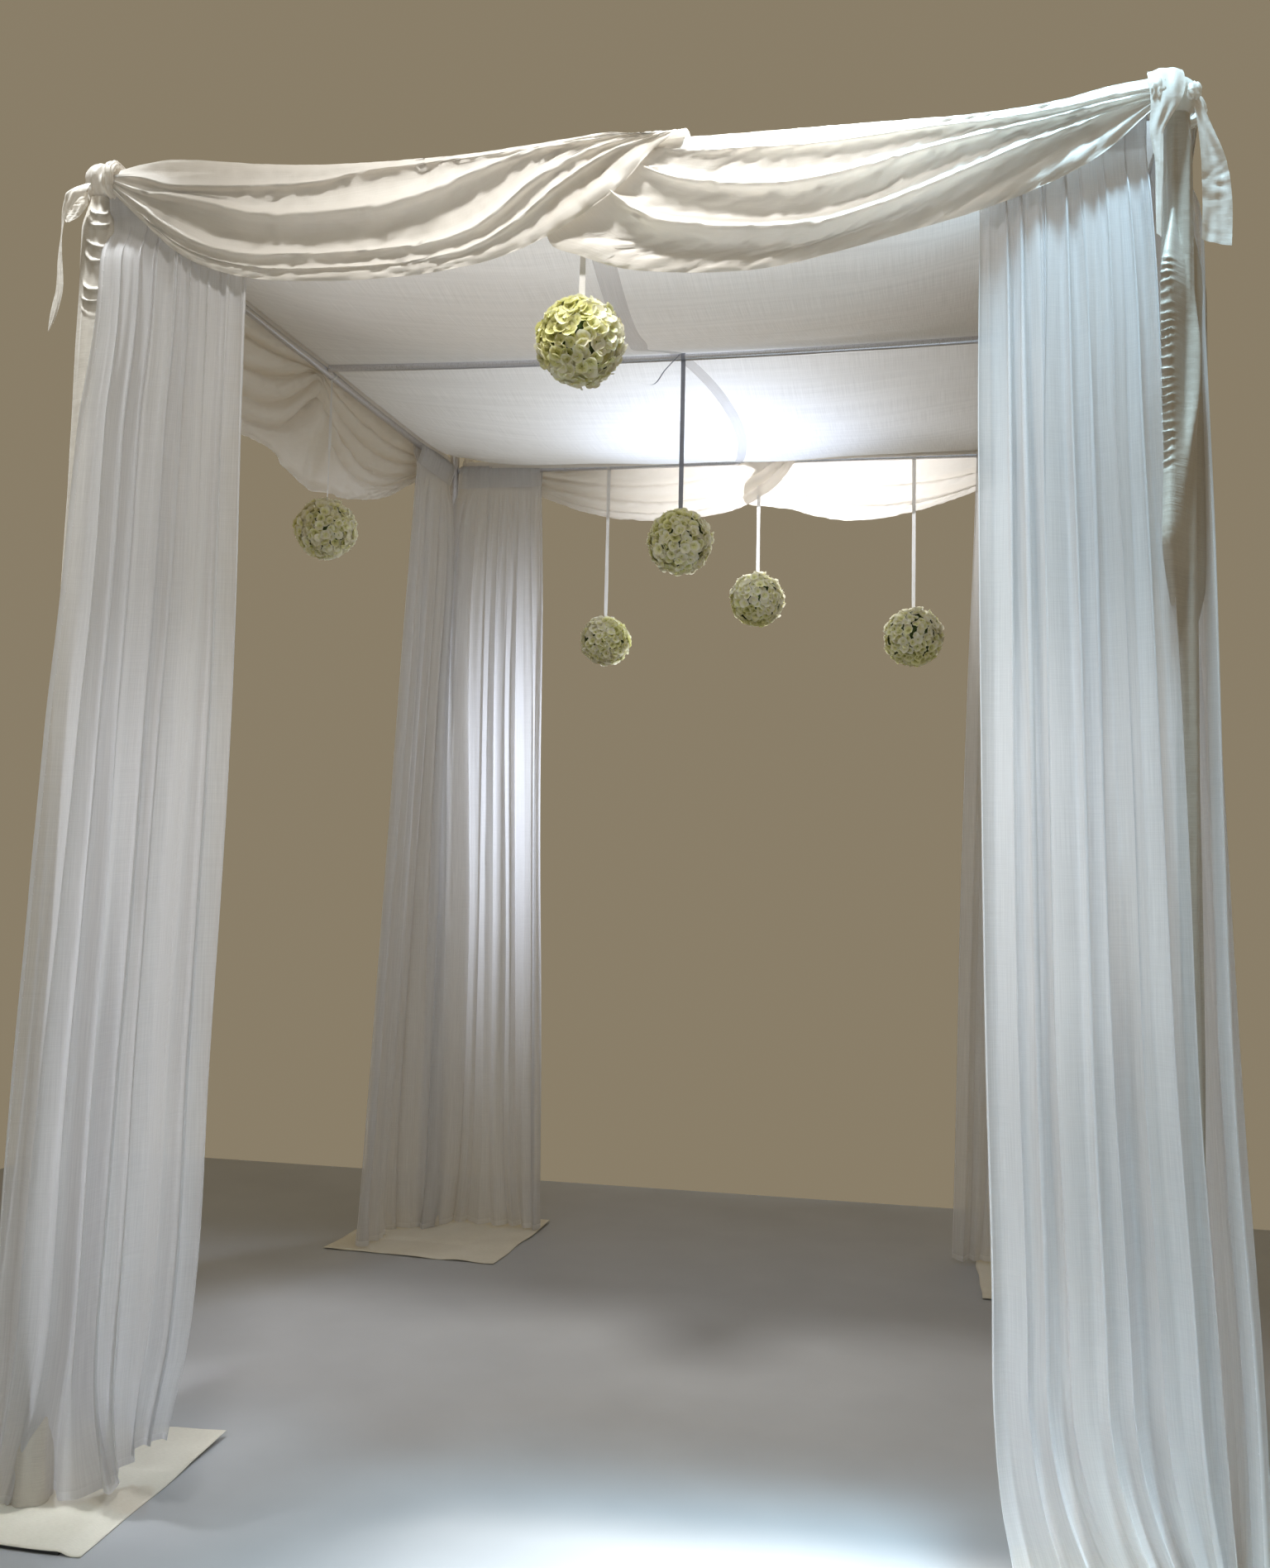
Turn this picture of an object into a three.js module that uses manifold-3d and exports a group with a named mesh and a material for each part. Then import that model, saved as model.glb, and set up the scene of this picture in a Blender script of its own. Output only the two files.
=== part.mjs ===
// Chuppah canopy: a free-standing frame of poles and crossbars, dressed in sheer drapes, a ceiling
// cloth, satin swags and hanging flower balls. Millimetres, +Z up. The origin is on the floor, midway
// between the four poles. -Y is the front.

import * as THREE from 'three';
import * as BufferGeometryUtils from 'three/addons/utils/BufferGeometryUtils.js';
import Module from 'manifold-3d';

// Driving dimensions
const HALF_WIDTH = 1220; // pole centre from the middle, along X
const HALF_DEPTH = 1300; // pole centre from the middle, along Y
const BAR_HEIGHT = 3000; // centre line of the perimeter crossbars
const GAP = 0.3; // clearance between pieces that touch

const PLATE = { size: 406, thickness: 8, pinRadius: 15, pinHeight: 240 };
const BASE_CLOTH = { half: 330, thickness: 3, slope: 16, holeHalf: 30 };
const POLE = { radius: 19, bore: 16, top: 3066, capRadius: 22, capHeight: 14 };
const BAR = { radius: 16, plugRadius: 13, plugLength: 12 };
const MIDDLE_BAR = { radius: 11, bow: 20 };
const SLEEVE = { topRadius: 27, bodyRadius: 44, hemRadius: 52, topHeight: 2955, gatherLength: 260 };
const KNOT = { radius: 47, bottom: BAR_HEIGHT + BAR.radius + 1, top: POLE.top - 2 };
const CEILING = { thickness: 4, frontSag: 250, rearSag: 180 };
const VALANCE = { frontDrop: 280, rearDrop: 250, sideDrop: 380, notch: 0.68, endClearance: 52 };
const DRAPE = {
  thickness: 6,
  pleats: 4,
  topFrom: 60, // distance from the pole to the near edge, under the bar
  topTo: 440,
  hemFrom: -20,
  hemTo: 400,
  topWave: 9,
  hemWave: 36,
};
// How far each hem stands outside its bar, next to the pole and at the far edge
const FACING_HEM = [90, 60];
const FLANKING_HEM = [110, 120];
const RIBBON = { width: 14, thickness: 1.2 };

// Flower balls: where the ribbon hangs, the height of the ball's centre, and the ribbon's turn about Z
const BALLS = [
  { name: 'front', x: -30, y: -HALF_DEPTH, z: 2577, diameter: 190, turn: 0 },
  { name: 'left', x: -HALF_WIDTH, y: 66, z: 2488, diameter: 190, turn: Math.PI / 2 },
  { name: 'middle', x: -40, y: 0, z: 2405, diameter: 195, turn: 0 },
  { name: 'rear_left', x: -573, y: HALF_DEPTH, z: 2296, diameter: 190, turn: 0 },
  { name: 'rear_middle', x: 28, y: HALF_DEPTH, z: 2452, diameter: 205, turn: 0 },
  { name: 'rear_right', x: 622, y: HALF_DEPTH, z: 2301, diameter: 220, turn: 0 },
];

// Corner ties: how wide the hanging tail is and how far down it reaches
const TAILS = {
  front_left: { width: 20, bottom: 2672 },
  front_right: { width: 70, bottom: 2700 },
  rear_left: { width: 50, bottom: 2720 },
  rear_right: { width: 50, bottom: 2690 },
};

const CORNERS = [
  { name: 'front_left', sx: -1, sy: -1 },
  { name: 'front_right', sx: 1, sy: -1 },
  { name: 'rear_left', sx: -1, sy: 1 },
  { name: 'rear_right', sx: 1, sy: 1 },
];

const material = (color, roughness, metalness = 0) =>
  new THREE.MeshStandardMaterial({ color, roughness, metalness });

const STEEL = material(0x2f3033, 0.6, 0.4);
const ALUMINIUM = material(0xc9cad0, 0.3, 0.9);
const SHEER = material(0xf1eff2, 0.85);
const CEILING_CLOTH = material(0xf5f2ee, 0.85);
const SATIN = material(0xefe4d2, 0.4);
const COTTON = material(0xece6d8, 0.9);
const FLOWERS = material(0xdde2b4, 0.8);
const RIBBON_SATIN = material(0xf3f0ee, 0.4);

const wasm = await Module();
wasm.setup();

const canopy = new THREE.Group();

// Turns the faces outwards if the volume they bound comes out negative
function facingOut(geometry) {
  const position = geometry.attributes.position;
  const [a, b, c] = [new THREE.Vector3(), new THREE.Vector3(), new THREE.Vector3()];
  let volume = 0;
  for (let i = 0; i < geometry.index.count; i += 3) {
    a.fromBufferAttribute(position, geometry.index.getX(i));
    b.fromBufferAttribute(position, geometry.index.getX(i + 1));
    c.fromBufferAttribute(position, geometry.index.getX(i + 2));
    volume += a.dot(b.cross(c));
  }
  if (volume < 0) {
    geometry.index.array.reverse();
  }
  return geometry;
}

// Keeps only positions and welds the vertices that coincide
function welded(geometry) {
  const bare = geometry.clone();
  bare.deleteAttribute('normal');
  bare.deleteAttribute('uv');
  return facingOut(BufferGeometryUtils.mergeVertices(bare, 1e-3));
}

// Moves every vertex of a welded copy by place(vertex)
function shaped(geometry, place) {
  const result = welded(geometry);
  const position = result.attributes.position;
  const vertex = new THREE.Vector3();
  for (let i = 0; i < position.count; i += 1) {
    vertex.fromBufferAttribute(position, i);
    place(vertex);
    position.setXYZ(i, vertex.x, vertex.y, vertex.z);
  }
  return facingOut(result);
}

function toManifold(geometry) {
  const bare = welded(geometry);
  return new wasm.Manifold(
    new wasm.Mesh({
      numProp: 3,
      vertProperties: new Float32Array(bare.attributes.position.array),
      triVerts: new Uint32Array(bare.index.array),
    }),
  );
}

function joined(first, second) {
  const mesh = toManifold(first).add(toManifold(second)).getMesh();
  const geometry = new THREE.BufferGeometry();
  geometry.setAttribute('position', new THREE.Float32BufferAttribute(mesh.vertProperties, 3));
  geometry.setIndex(Array.from(mesh.triVerts));
  return geometry;
}

function addPiece(name, geometry, finish) {
  const drawn = welded(geometry);
  drawn.computeVertexNormals();
  const mesh = new THREE.Mesh(drawn, finish);
  mesh.name = name;
  canopy.add(mesh);
  return mesh;
}

// A lathe of the profile [radius, height] about Z
function turned(profile, segments) {
  const points = profile.map(([radius, height]) => new THREE.Vector2(radius, height));
  return new THREE.LatheGeometry(points, segments).rotateX(Math.PI / 2);
}

const smoothStep = (t) => t * t * (3 - 2 * t);
const mix = THREE.MathUtils.lerp;
const clamp = THREE.MathUtils.clamp;

// Steel foot plate with the pin that the pole slips over
function basePlate() {
  const { size, thickness, pinRadius, pinHeight } = PLATE;
  const plate = new THREE.BoxGeometry(size, size, thickness).translate(0, 0, thickness / 2);
  const pin = new THREE.CylinderGeometry(pinRadius, pinRadius, pinHeight, 16)
    .rotateX(Math.PI / 2)
    .translate(0, 0, thickness / 2 + pinHeight / 2);
  return joined(plate, pin);
}

// Square cloth laid over the foot plate: flat on the floor round it, with a hole for the pole
function baseCloth() {
  const { half, thickness, slope, holeHalf } = BASE_CLOTH;
  const inner = PLATE.size / 2 + GAP;
  const under = PLATE.thickness + GAP;
  const profile = [
    [inner, 0],
    [half, 0],
    [half, thickness],
    [inner + thickness + slope, thickness],
    [inner + thickness, under + thickness],
    [holeHalf, under + thickness],
    [holeHalf, under],
    [inner, under],
    [inner, 0],
  ];
  const square = profile.map(([reach, height]) => [reach * Math.SQRT2, height]);
  return turned(square, 4).rotateZ(Math.PI / 4);
}

// Hollow pole, open below for the pin, with its cap on top
function upright() {
  const { radius, bore, top, capRadius, capHeight } = POLE;
  const foot = PLATE.thickness + GAP;
  return turned(
    [
      [0, top - 4],
      [bore, top - 4],
      [bore, foot],
      [radius, foot],
      [radius, top],
      [capRadius, top],
      [capRadius, top + capHeight - 4],
      [capRadius - 6, top + capHeight],
      [0, top + capHeight],
    ],
    16,
  );
}

// Straight crossbar along Z about its middle, with a narrower plug in each end
function crossbar(length) {
  const { radius, plugRadius, plugLength } = BAR;
  const end = length / 2;
  return turned(
    [
      [0, -end],
      [plugRadius, -end],
      [plugRadius, -end + plugLength],
      [radius, -end + plugLength],
      [radius, end - plugLength],
      [plugRadius, end - plugLength],
      [plugRadius, end],
      [0, end],
    ],
    16,
  );
}

// How far the middle bar has bowed down at x
const bowAt = (x) => MIDDLE_BAR.bow * (1 - (x / HALF_WIDTH) ** 2);

// The middle bar and the ceiling cloth share their stations along X, so that one follows the other
const STATIONS = 12;
const SPAN_X = 2 * (HALF_WIDTH - BAR.radius - GAP);
const SPAN_Y = 2 * (HALF_DEPTH - BAR.radius - GAP);

function middleBar() {
  const rod = new THREE.CylinderGeometry(MIDDLE_BAR.radius, MIDDLE_BAR.radius, SPAN_X, 12, STATIONS);
  return shaped(rod.rotateZ(Math.PI / 2), (v) => {
    v.z += BAR_HEIGHT - bowAt(v.x);
  });
}

// Satin tube gathered round the pole
function poleSleeve() {
  const { topRadius, bodyRadius, hemRadius, topHeight, gatherLength } = SLEEVE;
  const inner = POLE.radius + GAP;
  const bottom = PLATE.thickness + BASE_CLOTH.thickness + 2 * GAP;
  return turned(
    [
      [inner, bottom],
      [hemRadius, bottom],
      [bodyRadius, bottom + gatherLength],
      [bodyRadius, topHeight - gatherLength],
      [topRadius, topHeight],
      [inner, topHeight],
      [inner, bottom],
    ],
    16,
  );
}

// Ceiling cloth: it rides over the middle bar and sags in front of it and behind it
function ceilingCloth() {
  const rows = 9; // on each side of the middle bar, the first as wide as the bar's top
  const flat = MIDDLE_BAR.radius + 1;
  const sheet = new THREE.BoxGeometry(SPAN_X, 2, CEILING.thickness, STATIONS, 2 * rows, 1);
  return shaped(sheet, (v) => {
    const run = clamp((Math.abs(v.y) * rows - 1) / (rows - 1), 0, 1);
    const sag = v.y < 0 ? CEILING.frontSag : CEILING.rearSag;
    const across = 1 - Math.abs((2 * v.x) / SPAN_X) ** 3;
    const overBar = MIDDLE_BAR.radius + GAP - bowAt(v.x);
    const thickness = v.z > 0 ? CEILING.thickness : 0;
    const y = Math.abs(v.y) < 1e-6 ? 0 : Math.sign(v.y) * mix(flat, SPAN_Y / 2, run);
    const z = overBar * (1 - run) - sag * 4 * run * (1 - run) * across;
    v.set(v.x, y, BAR_HEIGHT + z + thickness);
  });
}

// Depth of a swagged valance at the fraction t along its side: two swags that meet in the middle
function swagDrop(t, drop) {
  const half = Math.abs(2 * t - 1);
  const rise = Math.sqrt(clamp((1 - half) / 0.3, 0, 1));
  const notch = mix(VALANCE.notch, 1, smoothStep(clamp(half / 0.35, 0, 1)));
  return drop * mix(0.16, 1, rise) * notch;
}

// Valance laid over the bar and hanging outside it, in a frame with the bar along X and outside at -Y
function valance(halfLength, drop) {
  const overBar = BAR.radius + GAP;
  const section = new THREE.Shape([
    new THREE.Vector2(12, overBar),
    new THREE.Vector2(12, overBar + 6),
    new THREE.Vector2(-18, overBar + 6),
    new THREE.Vector2(-32, 0),
    new THREE.Vector2(-62, -0.5),
    new THREE.Vector2(-58, -1),
    new THREE.Vector2(-44, -1),
    new THREE.Vector2(-48, -0.5),
    new THREE.Vector2(-20, 0),
    new THREE.Vector2(-overBar, overBar),
  ]);
  const reach = halfLength - VALANCE.endClearance;
  const strip = new THREE.ExtrudeGeometry(section, { depth: 1, steps: 16, bevelEnabled: false });
  return shaped(strip, (v) => {
    const depth = swagDrop(v.z, drop);
    const height = v.y < 0 ? v.y * depth : v.y;
    const outward = v.x < -20 ? mix(-20, v.x, depth / drop) : v.x;
    v.set(mix(-reach, reach, v.z), outward, BAR_HEIGHT + height);
  });
}

// Pleated drape hung under a bar. w runs across it from the pole side, f from the bar down to the hem.
function drape([outNear, outFar], toWorld) {
  const top = BAR_HEIGHT - BAR.radius - GAP;
  const bottom = PLATE.thickness + BASE_CLOTH.thickness + 2 * GAP;
  const sheet = new THREE.BoxGeometry(1, DRAPE.thickness, 1, DRAPE.pleats * 5, 1, 4);
  return shaped(sheet, (v) => {
    const [w, f] = [v.x + 0.5, 0.5 - v.z];
    const along = mix(
      mix(DRAPE.topFrom, DRAPE.topTo, w),
      mix(DRAPE.hemFrom, DRAPE.hemTo, w),
      f ** 2.5,
    );
    const wave = mix(DRAPE.topWave, DRAPE.hemWave, f) * Math.sin(w * DRAPE.pleats * Math.PI * 2);
    const outward = v.y + wave + f * mix(outNear, outFar, w);
    const [x, y] = toWorld(along, outward);
    v.set(x, y, mix(top, bottom, f));
  });
}

// Knot round the top of the pole with one hanging tail on the outside, towards +X
function cornerTie(tail) {
  const { radius, bottom, top } = KNOT;
  const inner = POLE.radius + GAP;
  const middle = (bottom + top) / 2;
  const knot = turned(
    [
      [inner, bottom],
      [radius - 10, bottom],
      [radius, middle],
      [radius - 10, top],
      [inner, top],
      [inner, bottom],
    ],
    16,
  );
  const thickness = 4;
  const route = [
    [radius - 8, middle],
    [radius + 8, middle - 6],
    [radius + 18, middle - 50],
    [radius + 26, tail.bottom],
  ];
  const outline = [
    ...route.map(([out, height]) => new THREE.Vector2(out, height)),
    ...route.reverse().map(([out, height]) => new THREE.Vector2(out + thickness, height + thickness)),
  ];
  const strip = new THREE.ExtrudeGeometry(new THREE.Shape(outline), {
    depth: tail.width,
    bevelEnabled: false,
  })
    .translate(0, 0, -tail.width / 2)
    .rotateX(Math.PI / 2);
  return joined(knot, strip);
}

// Feet, poles, sleeves and ties
for (const { name, sx, sy } of CORNERS) {
  const corner = [sx * HALF_WIDTH, sy * HALF_DEPTH, 0];
  addPiece(`base_plate_${name}`, basePlate(), STEEL).position.set(...corner);
  addPiece(`base_cloth_${name}`, baseCloth(), COTTON).position.set(...corner);
  addPiece(`upright_${name}`, upright(), ALUMINIUM).position.set(...corner);
  addPiece(`pole_sleeve_${name}`, poleSleeve(), SATIN).position.set(...corner);
  const tie = addPiece(`corner_tie_${name}`, cornerTie(TAILS[name]), SATIN);
  tie.position.set(...corner);
  tie.rotation.z = sx > 0 ? 0 : Math.PI;
}

// Crossbars between the poles
const clearance = 2 * (POLE.radius + GAP);
for (const [name, sy] of [['front', -1], ['rear', 1]]) {
  const bar = addPiece(`crossbar_${name}`, crossbar(2 * HALF_WIDTH - clearance), ALUMINIUM);
  bar.rotation.y = Math.PI / 2;
  bar.position.set(0, sy * HALF_DEPTH, BAR_HEIGHT);
}
for (const [name, sx] of [['left', -1], ['right', 1]]) {
  const bar = addPiece(`crossbar_${name}`, crossbar(2 * HALF_DEPTH - clearance), ALUMINIUM);
  bar.rotation.x = Math.PI / 2;
  bar.position.set(sx * HALF_WIDTH, 0, BAR_HEIGHT);
}
addPiece('crossbar_middle', middleBar(), ALUMINIUM);

// Cloths
addPiece('ceiling_cloth', ceilingCloth(), CEILING_CLOTH);
addPiece('valance_front', valance(HALF_WIDTH, VALANCE.frontDrop), SATIN).position.y = -HALF_DEPTH;
const rearValance = addPiece('valance_rear', valance(HALF_WIDTH, VALANCE.rearDrop), SATIN);
rearValance.rotation.z = Math.PI;
rearValance.position.y = HALF_DEPTH;
for (const [name, sx] of [['left', -1], ['right', 1]]) {
  const side = addPiece(`valance_${name}`, valance(HALF_DEPTH, VALANCE.sideDrop), SATIN);
  side.rotation.z = sx * Math.PI / 2;
  side.position.x = sx * HALF_WIDTH;
}
for (const { name, sx, sy } of CORNERS) {
  const facing = drape(FACING_HEM, (along, out) => [
    sx * (HALF_WIDTH - along),
    sy * (HALF_DEPTH + out),
  ]);
  const flanking = drape(FLANKING_HEM, (along, out) => [
    sx * (HALF_WIDTH + out),
    sy * (HALF_DEPTH - along),
  ]);
  addPiece(`drape_${name}_${sy < 0 ? 'front' : 'rear'}`, facing, SHEER);
  addPiece(`drape_${name}_side`, flanking, SHEER);
}

// Flower balls, each on a ribbon that hangs straight down from its bar
for (const { name, x, y, z, diameter, turn } of BALLS) {
  const radius = diameter / 2;
  const flowers = new THREE.SphereGeometry(radius, 14, 9).rotateX(Math.PI / 2);
  addPiece(`flower_ball_${name}`, flowers, FLOWERS).position.set(x, y, z);
  const underBar = name === 'middle' ? bowAt(x) + MIDDLE_BAR.radius : BAR.radius;
  const top = BAR_HEIGHT - underBar - GAP;
  const bottom = z + radius + GAP;
  const strip = new THREE.BoxGeometry(RIBBON.width, RIBBON.thickness, top - bottom);
  const ribbon = addPiece(`ribbon_${name}`, strip, RIBBON_SATIN);
  ribbon.position.set(x, y, (top + bottom) / 2);
  ribbon.rotation.z = turn;
}

export default canopy;
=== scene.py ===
"""Looks of a chuppah canopy: sheer drapes, satin swags, a ceiling cloth and flower balls on a pipe frame.

Metres, +Z up, the origin on the floor between the four poles, -Y the front. Cloth is shaped in the
frame of the bar that carries it: along the bar, outwards from it, and up.
"""

import sys
import logging
import math
from dataclasses import dataclass, field
from enum import Enum
from typing import Callable, Sequence

import bmesh
import bpy
import numpy as np
from mathutils import Euler, Matrix, Vector


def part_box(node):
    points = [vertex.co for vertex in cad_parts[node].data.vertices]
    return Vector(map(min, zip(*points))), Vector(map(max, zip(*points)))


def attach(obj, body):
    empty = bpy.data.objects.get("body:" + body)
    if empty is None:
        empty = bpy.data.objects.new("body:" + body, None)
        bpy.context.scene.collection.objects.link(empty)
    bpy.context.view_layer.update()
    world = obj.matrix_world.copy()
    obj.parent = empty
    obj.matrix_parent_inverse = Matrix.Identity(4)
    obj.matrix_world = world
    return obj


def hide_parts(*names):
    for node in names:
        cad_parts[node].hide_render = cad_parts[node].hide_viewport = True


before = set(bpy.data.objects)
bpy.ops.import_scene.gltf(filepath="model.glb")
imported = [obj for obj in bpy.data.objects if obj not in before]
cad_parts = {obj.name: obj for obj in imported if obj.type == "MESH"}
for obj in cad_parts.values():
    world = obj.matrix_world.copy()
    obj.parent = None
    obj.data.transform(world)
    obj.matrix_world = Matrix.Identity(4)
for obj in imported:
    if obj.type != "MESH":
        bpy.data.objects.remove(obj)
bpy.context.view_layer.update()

LOG = logging.getLogger("canopy")
Array = np.ndarray
Points = Sequence[Sequence[float]]
Colour = tuple[float, float, float]
Place = tuple[float, float, float]
Material = bpy.types.Material
Piece = bpy.types.Object
Socket = bpy.types.NodeSocket

TURN = 2 * math.pi
UV_MAP = "cloth"
TINT = "tint"


def node_centre(name: str) -> Vector:
    """Middle of a node's box.

    Args:
        name: the node's name.

    Returns:
        The centre in metres.
    """
    low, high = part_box(name)
    return (low + high) / 2


def metres(table: Points | Sequence[float]) -> Array:
    """The values of a table that is given in millimetres."""
    return np.asarray(table, float) / 1000


HALF_WIDTH = node_centre("upright_front_right").x
HALF_DEPTH = node_centre("upright_rear_right").y
BAR_HEIGHT = node_centre("crossbar_front").z
BAR_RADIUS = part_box("crossbar_front")[1].z - BAR_HEIGHT
PLATE_HALF = (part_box("base_plate_front_left")[1].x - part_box("base_plate_front_left")[0].x) / 2
PLATE_LIFT = 0.008 + 0.0006  # the plate's thickness, and the cloth's distance from it
HEM_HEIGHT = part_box("drape_front_right_front")[0].z
BAR_TOP = BAR_HEIGHT + BAR_RADIUS
MIDDLE_LOW, MIDDLE_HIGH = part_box("crossbar_middle")
MIDDLE_RADIUS = (MIDDLE_HIGH.y - MIDDLE_LOW.y) / 2
MIDDLE_BOW = BAR_HEIGHT - (MIDDLE_LOW.z + MIDDLE_RADIUS)


class Side(Enum):
    """The four sides of the canopy, with how a bar's own frame lies in the world."""

    FRONT = "front"
    REAR = "rear"
    LEFT = "left"
    RIGHT = "right"

    def place(self, along: Array, out: Array, up: Array) -> Array:
        """World positions of points given in the side's frame.

        Args:
            along: distance along the bar from its middle, towards +X or +Y.
            out: distance outwards from the bar's centre line.
            up: height above the floor.

        Returns:
            An array of shape (..., 3).
        """
        if self is Side.FRONT:
            parts = (along, -(HALF_DEPTH + out), up)
        elif self is Side.REAR:
            parts = (along, HALF_DEPTH + out, up)
        elif self is Side.LEFT:
            parts = (-(HALF_WIDTH + out), along, up)
        else:
            parts = (HALF_WIDTH + out, along, up)
        return np.stack(np.broadcast_arrays(*parts), axis=-1)

    @property
    def crosswise(self) -> bool:
        """Whether the bar runs from left to right."""
        return self in (Side.FRONT, Side.REAR)

    @property
    def reach(self) -> float:
        """Distance from the middle of the bar to the pole's centre."""
        return HALF_WIDTH if self.crosswise else HALF_DEPTH


class Corner(Enum):
    """The four poles, each with the signs of its X and Y."""

    FRONT_LEFT = ("front_left", -1, -1)
    FRONT_RIGHT = ("front_right", 1, -1)
    REAR_LEFT = ("rear_left", -1, 1)
    REAR_RIGHT = ("rear_right", 1, 1)

    @property
    def label(self) -> str:
        """The corner's part in the names of nodes and pieces."""
        return self.value[0]

    @property
    def signs(self) -> tuple[int, int]:
        """Signs of the pole's X and Y."""
        return self.value[1], self.value[2]

    @property
    def pole(self) -> Vector:
        """The pole's foot on the floor."""
        sx, sy = self.signs
        return Vector((sx * HALF_WIDTH, sy * HALF_DEPTH, 0))

    @property
    def sides(self) -> tuple[Side, Side]:
        """The front or rear side and the left or right side that meet here."""
        sx, sy = self.signs
        return Side.FRONT if sy < 0 else Side.REAR, Side.LEFT if sx < 0 else Side.RIGHT


# Smooth functions


def smooth(low: float, high: float, value: Array) -> Array:
    """Smooth step from 0 at low to 1 at high.

    Args:
        low: where the step starts.
        high: where the step ends.
        value: where it is read.

    Returns:
        The step, from 0 to 1.
    """
    t = np.clip((np.asarray(value, float) - low) / (high - low), 0, 1)
    return t * t * (3 - 2 * t)


def mix(first: Array, second: Array, share: Array) -> Array:
    """The blend of two values, all of the second where share is 1."""
    return first + (second - first) * share


def cubic(t: Array, first: Array, last: Array, leave: Array, arrive: Array) -> Array:
    """Smooth run between two values.

    Args:
        t: how far along, from 0 to 1.
        first: the value at 0.
        last: the value at 1.
        leave: the slope at 0, times the length of the run.
        arrive: the slope at 1, times the length of the run.

    Returns:
        The values at t.
    """
    square, cube = t**2, t**3
    return (
        (2 * cube - 3 * square + 1) * first
        + (cube - 2 * square + t) * leave
        + (3 * square - 2 * cube) * last
        + (cube - square) * arrive
    )


def course(points: Points, at: Array) -> Array:
    """Smooth line through a few points, read at fractions of its length.

    Args:
        points: the points, each of the same number of coordinates.
        at: fractions of the length, from 0 to 1.

    Returns:
        An array of shape (len(at), coordinates).
    """
    nodes = np.asarray(points, float)
    steps = np.linalg.norm(np.diff(nodes[:, :3], axis=0), axis=1)
    knots = np.concatenate([[0], np.cumsum(steps)])
    knots /= knots[-1]
    slopes = np.gradient(nodes, knots, axis=0)
    spans = np.clip(np.searchsorted(knots, at, side="right") - 1, 0, len(nodes) - 2)
    width = (knots[spans + 1] - knots[spans])[:, None]
    t = (at - knots[spans])[:, None] / width
    return cubic(t, nodes[spans], nodes[spans + 1], width * slopes[spans], width * slopes[spans + 1])


def level(points: Points, at: Array) -> Array:
    """Smooth value through (place, value) pairs, in rising order of place.

    Args:
        points: the pairs.
        at: the places where the value is wanted.

    Returns:
        The values, held level beyond the ends.
    """
    places, values = np.asarray(points, float).T
    slopes = np.gradient(values, places)
    at = np.clip(at, places[0], places[-1])
    spans = np.clip(np.searchsorted(places, at, side="right") - 1, 0, len(places) - 2)
    width = places[spans + 1] - places[spans]
    t = (at - places[spans]) / width
    return cubic(t, values[spans], values[spans + 1], width * slopes[spans], width * slopes[spans + 1])


class Wander:
    """A smooth irregular value between about -1 and 1 that changes over one or two directions."""

    WAVES = 7

    def __init__(self, seed: int) -> None:
        """Draws the waves.

        Args:
            seed: the same seed gives the same value.
        """
        draw = np.random.default_rng(seed)
        self.across = draw.uniform(0.35, 1.6, self.WAVES)
        self.down = draw.uniform(-1.0, 1.0, self.WAVES)
        self.phase = draw.uniform(0, TURN, self.WAVES)

    def at(self, x: Array, y: Array = 0.0) -> Array:
        """Reads the value, where one unit is about one swell.

        Args:
            x: the place in the first direction.
            y: the place in the second.

        Returns:
            The value.
        """
        total = 0.0
        for across, down, phase in zip(self.across, self.down, self.phase):
            total = total + np.sin(TURN * (across * x + down * y) + phase)
        return total / math.sqrt(2 * self.WAVES)


# Meshes


def finished(name: str, mesh: bpy.types.Mesh, material: Material) -> Piece:
    """A shaded object of a mesh, linked to the scene.

    Args:
        name: the piece's name.
        mesh: its mesh, in place.
        material: its finish.

    Returns:
        The object, at the origin.
    """
    mesh.materials.append(material)
    mesh.shade_smooth()
    piece = bpy.data.objects.new(name, mesh)
    bpy.context.scene.collection.objects.link(piece)
    return piece


def from_bmesh(name: str, bm: bmesh.types.BMesh, material: Material) -> Piece:
    """A piece from a bmesh, which is freed.

    Args:
        name: the piece's name.
        bm: its form, in place.
        material: its finish.

    Returns:
        The object, at the origin.
    """
    mesh = bpy.data.meshes.new(name)
    bm.to_mesh(mesh)
    bm.free()
    return finished(name, mesh, material)


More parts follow.
